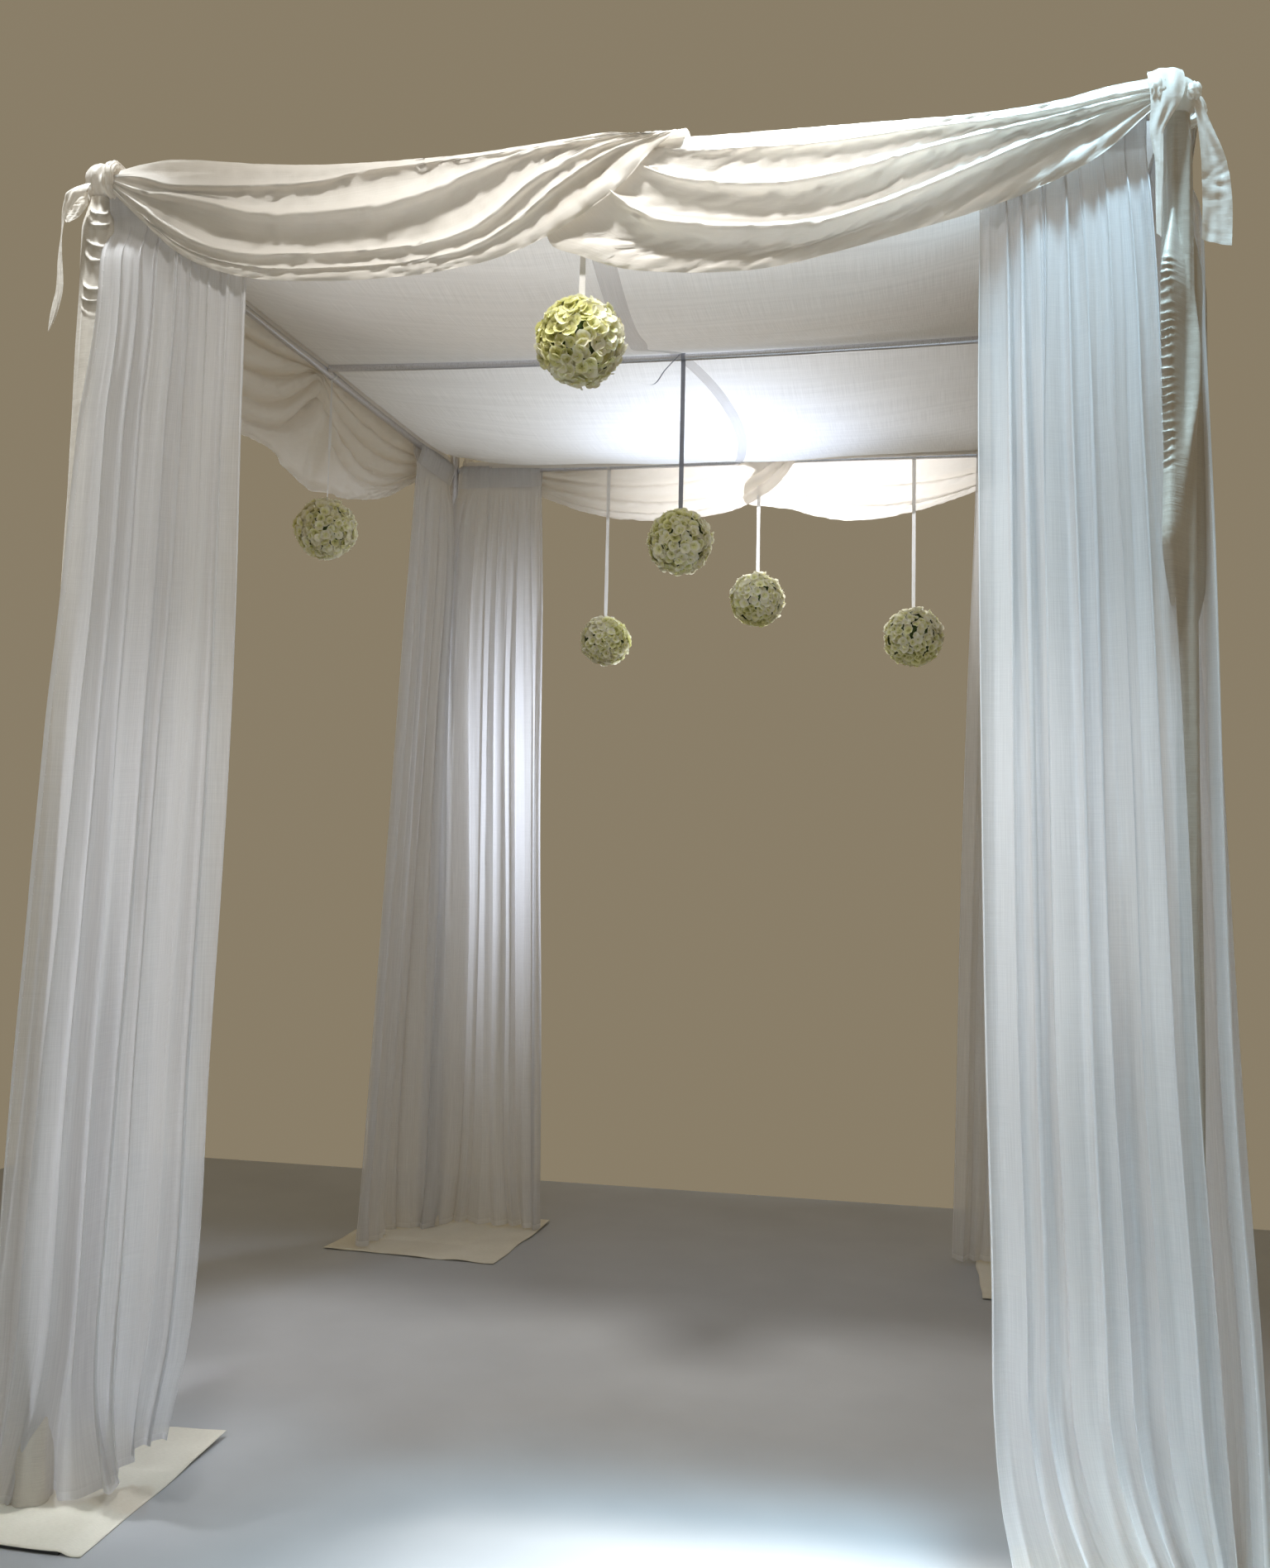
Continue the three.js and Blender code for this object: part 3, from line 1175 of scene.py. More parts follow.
@dataclass
class Sleeve:
    """A satin tube gathered round a pole.

    Args:
        corner: which pole.
        shop: the workshop.
        top: its upper edge, above the floor.
        radius: its mean radius.
        pucker: depth of the crosswise puckers.
        facing: the direction of the puckered side, in degrees from +X.
        band: the highest and lowest point of the puckers.
        spacing: distance from one pucker to the next.
        width: how far round the pole the puckers reach, in degrees.
        tent: (x, y) places from the pole's centre line that the loose cloth is drawn out to, going
            round, or nothing.
        tent_span: the lowest and highest point of that.
        sweep: (height, direction) points of one long fold, or nothing.
        dull: whether it has the darker satin, which paints the deep shade of the slit that it hangs in.
        seed: makes the folds of each sleeve its own.
        rim: its radius at the upper edge.
        flare: how much wider it falls below.
        closest: the least distance from the pole's centre line.
        overlap: the share of a turn that its two sides lap over.
        rows: divisions down.
        flat_width: width of the cloth before it is gathered.
        lobes: (folds round, depth) pairs of the loose folds.
    """

    corner: Corner
    shop: Workshop
    top: float = 2.985
    radius: float = 0.040
    pucker: float = 0.004
    facing: float = -90.0
    band: tuple[float, float] = (2.95, 2.62)
    spacing: float = 0.044
    width: float = 60.0
    tent: Points = ()
    tent_span: tuple[float, float] = (1.75, 2.90)
    sweep: Points = ()
    dull: bool = False
    seed: int = 5
    rim: float = 0.026
    flare: float = 0.008
    closest: float = 0.0205
    overlap: float = 0.04
    rows: int = 330
    flat_width: float = 0.28
    lobes: Points = ((2, 0.0022), (3, 0.0030), (5, 0.0036), (8, 0.0018), (13, 0.0009))

    def puckers(self, angle: Array, z: Array) -> Array:
        """Ridges that smile across the puckered side.

        Args:
            angle: directions from the pole.
            z: heights above the floor.

        Returns:
            How far they stand out.
        """
        aside = np.degrees(np.angle(np.exp(1j * (angle - math.radians(self.facing)))))
        drift, size = Wander(self.seed + 4), Wander(self.seed + 5)
        phase = (self.top - z) / self.spacing + 0.35 * drift.at(z * 7) + 0.55 * (aside / self.width) ** 2
        phase = phase + 0.35 * drift.at(z * 9 + 3) * aside / self.width
        ridge = np.exp(-((np.abs(phase - np.rint(phase)) / 0.13) ** 2)) - 0.28
        window = np.exp(-((aside / self.width) ** 4)) * (0.75 + 0.35 * size.at(z * 11))
        high, low = self.band
        below, above = smooth(low - 0.05, low, z), 1 - smooth(high, high + 0.02, z)
        return self.pucker * ridge * window * below * above

    def long_fold(self, angle: Array, z: Array) -> Array:
        """One loose fold that turns round the pole as it falls.

        Args:
            angle: directions from the pole.
            z: heights above the floor.

        Returns:
            How far it stands out.
        """
        if not self.sweep:
            return 0.0
        toward = np.radians(level(sorted(self.sweep), z))
        aside = np.angle(np.exp(1j * (angle - toward)))
        heights = [point[0] for point in self.sweep]
        low, high = min(heights), max(heights)
        ends = smooth(low, low + 0.12, z) * (1 - smooth(high - 0.15, high, z))
        crest = 0.012 * np.exp(-((aside / 0.34) ** 2))
        return ends * (crest - 0.006 * np.exp(-(((aside + 0.75) / 0.4) ** 2)))

    def drawn_out(self, angle: Array, z: Array) -> Array:
        """The loose cloth between the places that it is drawn out to.

        Args:
            angle: directions from the pole.
            z: heights above the floor.

        Returns:
            How far from the pole it lies.
        """
        r = 0.0 * angle
        for (ax, ay), (bx, by) in zip(self.tent, self.tent[1:]):
            first, second = math.atan2(ay, ax), math.atan2(by, bx)
            turn = (angle - first) % TURN
            width = (second - first) % TURN
            cross = bx * ay - ax * by
            slope = (bx - ax) * np.sin(angle) - (by - ay) * np.cos(angle)
            inside = (turn <= width) & (np.abs(slope) > 1e-6)
            r = np.where(inside, cross / np.where(inside, -slope, 1.0), r)
        low, high = self.tent_span
        return r * smooth(low, low + 0.35, z) * (1 - smooth(high - 0.30, high, z))

    def shape(self, around: Array, down: Array) -> Array:
        """World positions of the sleeve.

        Args:
            around: fractions of the way round.
            down: fractions of the way down.

        Returns:
            An array of shape (..., 3).
        """
        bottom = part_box(f"pole_sleeve_{self.corner.label}")[0].z
        z = mix(self.top, bottom, down)
        fall = self.top - z
        drift, depth = Wander(self.seed), Wander(self.seed + 2)
        sx, sy = self.corner.signs
        hidden = math.atan2(-sy, -sx)
        angle = hidden + TURN * around * (1 + self.overlap)
        body = mix(self.rim, self.radius, smooth(0, 0.08, fall))
        body = body + self.flare * smooth(self.top - 0.30, self.top, fall)
        loose = 0.0
        for count, size in self.lobes:
            phase = 0.55 * count * drift.at(fall * 0.45, count) + count
            strength = 0.6 + 0.4 * depth.at(fall * 0.8 + count)
            loose = loose + size * strength * np.cos(count * angle + phase)
        loose = loose * smooth(0.0, 0.15, fall + 0.03)
        if self.tent:
            body = np.maximum(body, np.abs(self.drawn_out(angle, z)))
        r = body + loose + self.puckers(angle, z) + self.long_fold(angle, z)
        r = np.maximum(r, self.closest) + 0.0012 * smooth(0.96, 1.0, around)
        px, py = self.corner.pole.xy
        return np.stack([px + r * np.cos(angle), py + r * np.sin(angle), z], axis=-1)

    def build(self) -> None:
        """Makes the sleeve."""
        name = self.corner.label
        flat = (self.flat_width, self.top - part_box(f"pole_sleeve_{name}")[0].z)
        weft = Weft(*flat, 90, self.rows, finer=(0.72, 0.27))
        # The darker satin paints the shade that this sleeve hangs in.
        satin = self.shop.finishes.dull_sleeve if self.dull else self.shop.finishes.sleeve
        piece = weft.hang(f"sleeve_{name}", self.shape, satin)
        self.shop.keep(piece, "satin", f"pole_sleeve_{name}")


# Drapes


@dataclass(frozen=True)
class Edges:
    """Where a drape hangs, and what its folds do above the floor.

    Distances along the bar are taken from the pole towards the middle of the bar.

    Args:
        near: (height, distance) pairs of the edge next to the pole.
        far: the same for the edge away from the pole.
        out_near: (height, distance) pairs of how far the near edge stands outside the bar.
        out_far: the same for the far edge.
        curl: (height, distance) pairs of how far the near edge turns outwards beyond that.
        splay: (across, distance) pairs of how far the folds swing from the pole at the floor.
        valleys: (across, height, depth) of deep folds that open below that height.
        hem_lift: how much higher the far corner of the hem hangs.
    """

    near: Points
    far: Points
    out_near: Points
    out_far: Points
    curl: Points = ((0, 0), (3, 0))
    splay: Points = ((0, 0), (0.25, -0.03), (0.6, 0.02), (1, 0))
    valleys: Points = ()
    hem_lift: float = 0.0


@dataclass
class Drape:
    """A sheer drape gathered on a bar beside a pole, with a rod pocket at the top.

    Args:
        name: the end of the node's name.
        corner: the pole that it hangs beside.
        side: the bar that it hangs on.
        shop: the workshop.
        edges: where it hangs.
        seed: makes the folds of each drape its own.
        folds: main folds at the hem.
        flat: its width and length before it is gathered.
        columns: divisions across.
        rows: divisions down.
        pocket_share: the share of the rows that the rod pocket takes.
        stitch: distance of the pocket's stitching below the bar.
        pocket_gap: distance between the bar and the pocket.
        gathers: fine pleats in the pocket.
        slack: height above the hem at which the folds begin to swing.
        valley_width: width of the deep folds, as a share of the drape's.
    """

    name: str
    corner: Corner
    side: Side
    shop: Workshop
    edges: Edges
    seed: int
    folds: float = 8.0
    flat: tuple[float, float] = (0.85, 3.05)
    columns: int = 200
    rows: int = 112
    pocket_share: float = 0.10
    stitch: float = 0.075
    pocket_gap: float = 0.0012
    gathers: int = 15
    slack: float = 0.45
    valley_width: float = 0.024

    def pocket(self, across: Array, turn: Array) -> tuple[Array, Array]:
        """The rod pocket: up behind the bar from its stitching, over the bar and down in front.

        Args:
            across: fraction across the drape.
            turn: fraction of the way round.

        Returns:
            How far outside the bar's centre line, and how high.
        """
        crimp = 0.5 + 0.5 * np.cos(TURN * self.gathers * across + 2 * Wander(self.seed + 9).at(across * 3))
        radius = BAR_RADIUS + self.pocket_gap + 0.0016 * crimp
        arc = math.pi * radius
        run = (turn + 0.6 * np.sin(TURN * turn) / TURN) * (2 * self.stitch + arc)
        angle = np.clip((run - self.stitch) / radius, 0, math.pi)
        below = np.where(run < self.stitch, self.stitch - run, np.maximum(run - self.stitch - arc, 0))
        closing = 1 - 0.9 * smooth(0.3 * self.stitch, self.stitch, below)
        return -radius * np.cos(angle) * closing, BAR_HEIGHT + radius * np.sin(angle) - below

    def pleats(self, across: Array, fall: Array) -> tuple[Array, Array]:
        """The folds below the bar: round crests with narrow valleys between them.

        Args:
            across: fraction across the drape.
            fall: distance below the stitching.

        Returns:
            How far each point stands out, and how far it is moved along the bar.
        """
        wide, slow, size, lean = (Wander(self.seed + i).at for i in range(4))
        pitch = 0.4 / self.folds
        spread = across + 0.05 * wide(across * 2.2) * np.sin(math.pi * across)
        phase = TURN * (self.folds * spread + 0.14 * slow(across * 2.5, fall * 0.3))
        grown = smooth(-0.15, 0.8, fall)
        amplitude = mix(0.006, 0.0165, grown) * (0.72 + 0.42 * size(across * self.folds * 0.45, fall * 0.2))
        crest = 2 * np.abs(np.cos(phase / 2)) ** 0.85 - 1
        out = amplitude * crest
        along = -0.22 * pitch * mix(0.5, 1.0, grown) * np.sin(phase)
        along = along + 0.011 * grown * lean(across * self.folds * 0.35, fall * 0.12) * crest
        fine = TURN * (self.gathers * spread + 0.5 * wide(across * 6, fall * 0.25))
        fade = 1 - 0.80 * smooth(0.05, 1.0, fall)
        out = out + 0.0042 * fade * np.cos(fine)
        along = along - 0.0024 * fade * np.sin(fine)
        broad = TURN * (2.3 * across + 0.12 * lean(across, fall * 0.4)) + self.seed
        out = out + mix(0.002, 0.010, smooth(0, 2.4, fall)) * np.cos(broad)
        along = along + 0.004 * slow(across * 3 + 5, fall * 0.6) * smooth(0, 0.6, fall)
        return out, along

    def on_floor(self, across: Array, z: Array) -> tuple[Array, Array]:
        """What the folds do above the floor: some swing aside, and deep ones open.

        Args:
            across: fraction across the drape.
            z: height above the floor.

        Returns:
            How far each point stands out, and how far it is moved along the bar.
        """
        low = np.clip(1 - (z - HEM_HEIGHT) / self.slack, 0, 1)
        out = 0.0 * across
        for place, top, depth in self.edges.valleys:
            trough = np.exp(-(((across - place) / self.valley_width) ** 2))
            out = out - depth * trough * (1 - smooth(top - 0.6, top, z))
        return out, level(self.edges.splay, across) * low**2

    def shape(self, across: Array, down: Array) -> Array:
        """World positions of the drape.

        Args:
            across: fractions across the drape.
            down: fractions down it.

        Returns:
            An array of shape (..., 3).
        """
        edges = self.edges
        start, finish = BAR_HEIGHT - self.stitch, HEM_HEIGHT
        below = np.clip((down - self.pocket_share) / (1 - self.pocket_share), 0, 1)
        z = mix(start, finish + edges.hem_lift * smooth(0.3, 1.0, across), below)
        fall = start - z
        out, along = self.pleats(across, fall)
        floor_out, floor_along = self.on_floor(across, z)
        out, along = out + floor_out, along + floor_along
        near_floor = 1 - smooth(0, 0.20, z - finish)
        out = out * (1 + 0.5 * near_floor**2)
        stand = mix(level(edges.out_near, z), level(edges.out_far, z), across)
        stand = stand + level(edges.curl, z) * (1 - smooth(0.10, 0.34, across))
        out = out * mix(0.55, 1.0, smooth(0, 0.12, fall)) + stand

        inside = down < self.pocket_share
        pocket_out, pocket_up = self.pocket(across, np.clip(down / self.pocket_share, 0, 1))
        out = np.where(inside, pocket_out, mix(pocket_out * 0.35, out, smooth(0.0, 0.10, fall)))
        lift = 0.006 * near_floor**3 * (1 + np.cos(TURN * self.folds * across)) / 2
        z = np.where(inside, pocket_up, z + lift)

        distance = mix(level(edges.near, z), level(edges.far, z), across) + along
        sign = self.corner.signs[0 if self.side.crosswise else 1]
        return self.side.place(sign * (self.side.reach - distance), out, z)

    def build(self) -> None:
        """Makes the drape."""
        weft = Weft(*self.flat, self.columns, self.rows)
        piece = weft.hang(f"sheer_{self.name}", self.shape, self.shop.finishes.sheer)
        self.shop.keep(piece, "sheer", f"drape_{self.name}")


# Ceiling


@dataclass
class Ceiling:
    """The ceiling cloth over the middle bar, with the seam of its two widths.

    Args:
        shop: the workshop.
        front_sag: how deep it sags in front of the middle bar.
        rear_sag: how deep it sags behind it.
        inset: how far its edges lie inside the bars' centre lines.
        rise: how far its edges lie above those lines.
        corner_rise: how much higher its corners are held at the poles.
        corner_reach: how far from a pole that goes.
        seam_width: width of the lapped seam.
        seam_run: (y, x) places of the seam.
        seam_under: how far the seam lies under the cloth.
        bar_gap: distance between the middle bar and the cloth over it.
        corner_pulls: signs of X and Y, and depth, of the folds that run out from each pole.
        seed: makes its folds its own.
    """

    shop: Workshop
    front_sag: float = 0.185
    rear_sag: float = 0.125
    inset: float = 0.015
    rise: float = 0.0075
    corner_rise: float = 0.046
    corner_reach: float = 0.16
    seam_width: float = 0.045
    seam_run: Points = ((-1.3, -0.035), (-0.6, -0.064), (-0.04, -0.078), (0.05, -0.026), (1.3, -0.050))
    seam_under: float = 0.0016
    bar_gap: float = 0.0008
    corner_pulls: Points = ((-1, -1, 0.006), (1, -1, 0.012), (-1, 1, 0.005), (1, 1, 0.006))
    seed: int = 31

    def height(self, x: Array, y: Array) -> Array:
        """Height of the cloth.

        Args:
            x: place across the canopy.
            y: place from front to rear.

        Returns:
            The height above the floor.
        """
        over = BAR_HEIGHT + MIDDLE_RADIUS - MIDDLE_BOW * (1 - (x / HALF_WIDTH) ** 2) + self.bar_gap
        half_x, half_y = HALF_WIDTH - self.inset, HALF_DEPTH - self.inset
        run = np.clip(np.abs(y) / half_y, 0, 1)
        sag = np.where(y < 0, self.front_sag, self.rear_sag)
        across = np.clip(1 - np.abs(x / half_x) ** 2.6, 0, 1)
        lie = np.where(y < 0, run ** 1.35, run)
        belly = 4 * lie * (1 - lie)
        edge = BAR_HEIGHT + self.rise
        z = mix(over, edge, smooth(0, 1, run)) - sag * belly * across
        calm = np.clip(belly, 0, 1) * np.clip(1 - (x / half_x) ** 4, 0, 1)
        pulls = Wander(self.seed)
        for sx, sy, depth in self.corner_pulls:
            dx, dy = half_x - sx * x, half_y - sy * y
            reach = np.hypot(dx, dy)
            angle = np.arctan2(dy, dx)
            ray = np.cos(13 * angle + 3 * sx + sy + 0.6 * pulls.at(reach * 1.4, sx + sy))
            z = z + depth * ray * np.exp(-reach / 0.70) * smooth(0.02, 0.3, reach)
            z = z + self.corner_rise * np.exp(-((reach / self.corner_reach) ** 1.4))
        z = z + 0.007 * pulls.at(x * 1.3, y * 1.9) * calm
        ridges = np.cos(TURN * (x * 2.1 + 0.25 * pulls.at(y * 0.8)))
        return z + 0.0035 * ridges * smooth(0.55, 1.0, run) * calm * 2

    def shape(self, across: Array, down: Array) -> Array:
        """World positions of the ceiling cloth.

        Args:
            across: fractions from left to right.
            down: fractions from front to rear.

        Returns:
            An array of shape (..., 3).
        """
        x = (across * 2 - 1) * (HALF_WIDTH - self.inset)
        y = (down * 2 - 1) * (HALF_DEPTH - self.inset)
        return np.stack([x, y, self.height(x, y)], axis=-1)

    def seam(self, across: Array, down: Array) -> Array:
        """World positions of the lapped seam under the cloth.

        Args:
            across: fractions across the seam.
            down: fractions from front to rear.

        Returns:
            An array of shape (..., 3).
        """
        y = (down * 2 - 1) * (HALF_DEPTH - self.inset)
        taper = mix(1.25, 0.60, smooth(-1.2, 1.2, y))
        x = level(self.seam_run, y) + (across - 0.5) * self.seam_width * taper
        return np.stack([x, y, self.height(x, y) - self.seam_under], axis=-1)

    def build(self) -> None:
        """Makes the ceiling cloth and its seam."""
        finishes = self.shop.finishes
        width, length = 2 * (HALF_WIDTH - self.inset), 2 * (HALF_DEPTH - self.inset)
        cloth = Weft(width, length, 120, 132).hang("ceiling_sheet", self.shape, finishes.ceiling)
        seam = Weft(self.seam_width, length, 4, 132).hang("ceiling_seam", self.seam, finishes.seam)
        self.shop.keep(cloth, "ceiling", "ceiling_cloth")
        self.shop.keep(seam, "ceiling")


# Swags


class Gather(Enum):
    """How the end of a swag is held."""

    KNOT = "knot"  # bunched at the pole top
    OVER = "over"  # carried over the bar and tucked behind it
    UNDER = "under"  # brought over the bar from behind, below another swag


@dataclass
class Swag:
    """Satin carried along a bar in folds. Every line runs from the swag's first end to its last.

    The points of its lines are in millimetres, from the middle of the bar and from the floor.

    Args:
        name: the piece's name.
        side: the bar that carries it.
        top: (along, height) points where it lies over the bar.
        folds: lines of (along, height, depth of the fold) points, from the top down.
        hem: (along, height) points of the lower edge.
        ends: how its first and last ends are held.
        node: the node that it stands for.
        seed: makes its creases its own.
        rise_out: how far it stands outside the bar at its top, at mid height and at its hem.
        knot_out: how far it stands outside the bar at a knot.
        inward: how far its last end passes inside the bar.
        columns: divisions along it.
        flat: its length and width before it is gathered.
        fan: place along the bar of a tie that pleats fan out from, or nothing.
        row_height: about how far its rows lie apart.
    """

    name: str
    side: Side
    top: Points
    folds: Sequence[Points]
    hem: Points
    ends: tuple[Gather, Gather]
    node: str
    seed: int = 41
    rise_out: tuple[float, float, float] = (0.030, 0.040, 0.046)
    knot_out: float = 0.044
    inward: float = 0.0
    columns: int = 170
    flat: tuple[float, float] = (1.30, 0.44)
    fan: float | None = None
    row_height: float = 0.008

    def out_at(self, along: Array, height: Array) -> Array:
        """How far a line stands outside the bar.

        Args:
            along: places along the bar.
            height: heights above the floor.

        Returns:
            The distances.
        """
        drop = np.clip((BAR_TOP - height) / 0.28, 0, 1)
        base = level(((0, self.rise_out[0]), (0.5, self.rise_out[1]), (1, self.rise_out[2])), drop)
        low, high = along.min(), along.max()
        for gather, gap in ((self.ends[0], along - low), (self.ends[1], high - along)):
            if gather is Gather.KNOT:
                base = mix(self.knot_out, base, smooth(0.0, 0.16, gap))
            elif gather is Gather.OVER:
                base = base + 0.014 * (1 - smooth(0.02, 0.30, gap))
        if self.inward:
            base = base - self.inward * (1 - smooth(0.04, 0.26, high - along))
        return base

    def ending(self, gather: Gather, fraction: float) -> list[Place]:
        """Points that carry a line from its end over the bar, nearest the line first.

        Args:
            gather: how the end is held.
            fraction: how far down the cloth the line lies.

        Returns:
            (along, out, height) points.
        """
        if gather is Gather.OVER:
            start = 0.070 + 0.125 * fraction
            flip = -1 if self.inward else 1  # from inside the bar it is carried over it outwards
            return [
                (start, flip * 0.046, BAR_HEIGHT + 0.020),
                (start + 0.008, flip * 0.014, BAR_TOP + 0.020),
                (start + 0.012, flip * -0.016, BAR_TOP + 0.009),
                (start + 0.012, flip * -0.026, BAR_HEIGHT - 0.010),
            ]
        if gather is Gather.UNDER:
            start = 0.125 - 0.150 * fraction
            return [
                (start, 0.030, BAR_HEIGHT + 0.002),
                (start + 0.004, 0.014, BAR_TOP + 0.004),
                (start + 0.006, -0.014, BAR_TOP + 0.004),
                (start + 0.006, -0.024, BAR_HEIGHT - 0.010),
            ]
        return []

    def line(self, points: Array, fraction: float, at: Array) -> Array:
        """A whole line, with what carries its ends over the bar.

        Args:
            points: (along, out, height) points.
            fraction: how far down the cloth it lies.
            at: fractions of its length.

        Returns:
            Positions of shape (len(at), 3).
        """
        before, after = (self.ending(gather, fraction) for gather in self.ends)
        return course([*before[::-1], *points, *after], at)

    def lines(self, at: Array) -> Array:
        """Every line of the cloth, from behind the bar down to the hem.

        Args:
            at: fractions of each line's length.

        Returns:
            Positions of shape (lines, len(at), 3).
        """
        made = []
        total = len(self.folds) * 3 + 4

        def add(pairs: Array, out: Array) -> None:
            """Adds a line of (along, height) pairs at a distance outside the bar."""
            points = np.stack([pairs[:, 0], out, pairs[:, 1]], axis=1)
            made.append(self.line(points, len(made) / total, at))

        top = metres(self.top)
        shrink = self.knot_share(top[:, 0])
        add(top - [0, 0.030], -0.022 + 0.020 * (1 - shrink))
        add(top, -0.009 + 0.010 * (1 - shrink))
        add(top - [0, 0.004], 0.017 + 0.012 * (1 - shrink))
        for fold in self.folds:
            along, height, depth = metres(fold).T
            base = self.out_at(along, height)
            step = np.maximum(depth, 0.003)
            for up, push in ((0.85, 0.10), (0.0, 1.0), (-0.50, 0.05)):
                line = np.stack([along, height + up * step], axis=1)
                add(line, base + push * depth)
        hem = metres(self.hem)
        base = self.out_at(hem[:, 0], hem[:, 1])
        add(hem + [0, 0.012], base + 0.002)
        add(hem, base)
        return np.array(made)

    def knot_share(self, along: Array) -> Array:
        """A value that is 1 away from the knots and falls to 0 at them.

        Args:
            along: places along the bar.

        Returns:
            The values.
        """
        share = np.ones_like(along)
        low, high = along.min(), along.max()
        if self.ends[0] is Gather.KNOT:
            share = share * smooth(0, 0.12, along - low)
        if self.ends[1] is Gather.KNOT:
            share = share * smooth(0, 0.12, high - along)
        return share

    def creases(self, grid: Array) -> Array:
        """Adds fine pleats that run out from the gathers, and creases between them.

        Args:
            grid: (along, out, height) positions, row by row.

        Returns:
            The moved positions.
        """
        rows, columns = grid.shape[:2]
        down = np.linspace(0, 1, rows)[:, None]
        across = np.linspace(0, 1, columns)[None, :]
        pull, faint = Wander(self.seed), Wander(self.seed + 1)
        last = 0.18 if self.ends[1] is Gather.OVER else 0.09
        near = np.exp(-across / 0.08) + np.exp(-(1 - across) / last)
        pleats = np.cos(TURN * (10 * down + 0.6 * pull.at(down * 3, across * 0.8)))
        soft = faint.at(down * 7 + across * 0.6, across * 2.2)
        fine = faint.at(down * 17, across * 3.1)
        crisp = 0.55 - np.abs(pull.at(down * 8 + across * 5.0, across * 15.0))
        sharp = 0.55 - np.abs(faint.at(down * 14 - across * 6.0, across * 27.0))
        free = smooth(0.05, 0.16, down) * smooth(0.02, 0.09, across) * smooth(0.02, 0.09, 1 - across)
        creased = 0.0022 * soft + 0.0008 * fine + 0.0060 * crisp + 0.0032 * sharp
        push = 0.0032 * pleats * near + creased * free
        if self.fan is not None:
            push = push + self.fan_folds(grid)
        moved = grid.copy()
        moved[..., 1] += push
        moved[..., 2] -= 0.3 * push * free
        return moved

    def fan_folds(self, grid: Array) -> Array:
        """Pleats that fall from a tie on the bar to the hem.

        Args:
            grid: (along, out, height) positions.

        Returns:
            How far they stand out.
        """
        away, drop = grid[..., 0] - self.fan, BAR_HEIGHT - grid[..., 2]
        reach = np.hypot(away, drop)
        angle = np.arctan2(away, np.maximum(drop, 1e-4))
        pleat = np.cos(11 * angle + 0.8 * Wander(self.seed + 5).at(reach * 3))
        window = (1 - smooth(0.35, 1.0, np.abs(angle))) * smooth(0.03, 0.14, reach)
        return 0.009 * pleat * window * (1 - 0.4 * smooth(0.2, 0.4, reach))

    def build(self, shop: Workshop) -> None:
        """Makes the swag.

        Args:
            shop: the workshop.
        """
        at = np.linspace(0, 1, self.columns + 1)
        lines = self.lines(at)
        gaps = np.linalg.norm(np.diff(lines, axis=0), axis=2).mean(axis=1)
        steps = [int(np.clip(round(gap / self.row_height), 2, 8)) for gap in gaps]
        grid = self.creases(across_lines(lines, steps))
        world = self.side.place(*np.moveaxis(grid, -1, 0))
        weft = Weft(*self.flat, self.columns, sum(steps))
        piece = weft.loft(self.name, world, shop.finishes.satin)
        shop.keep(piece, "satin", self.node)


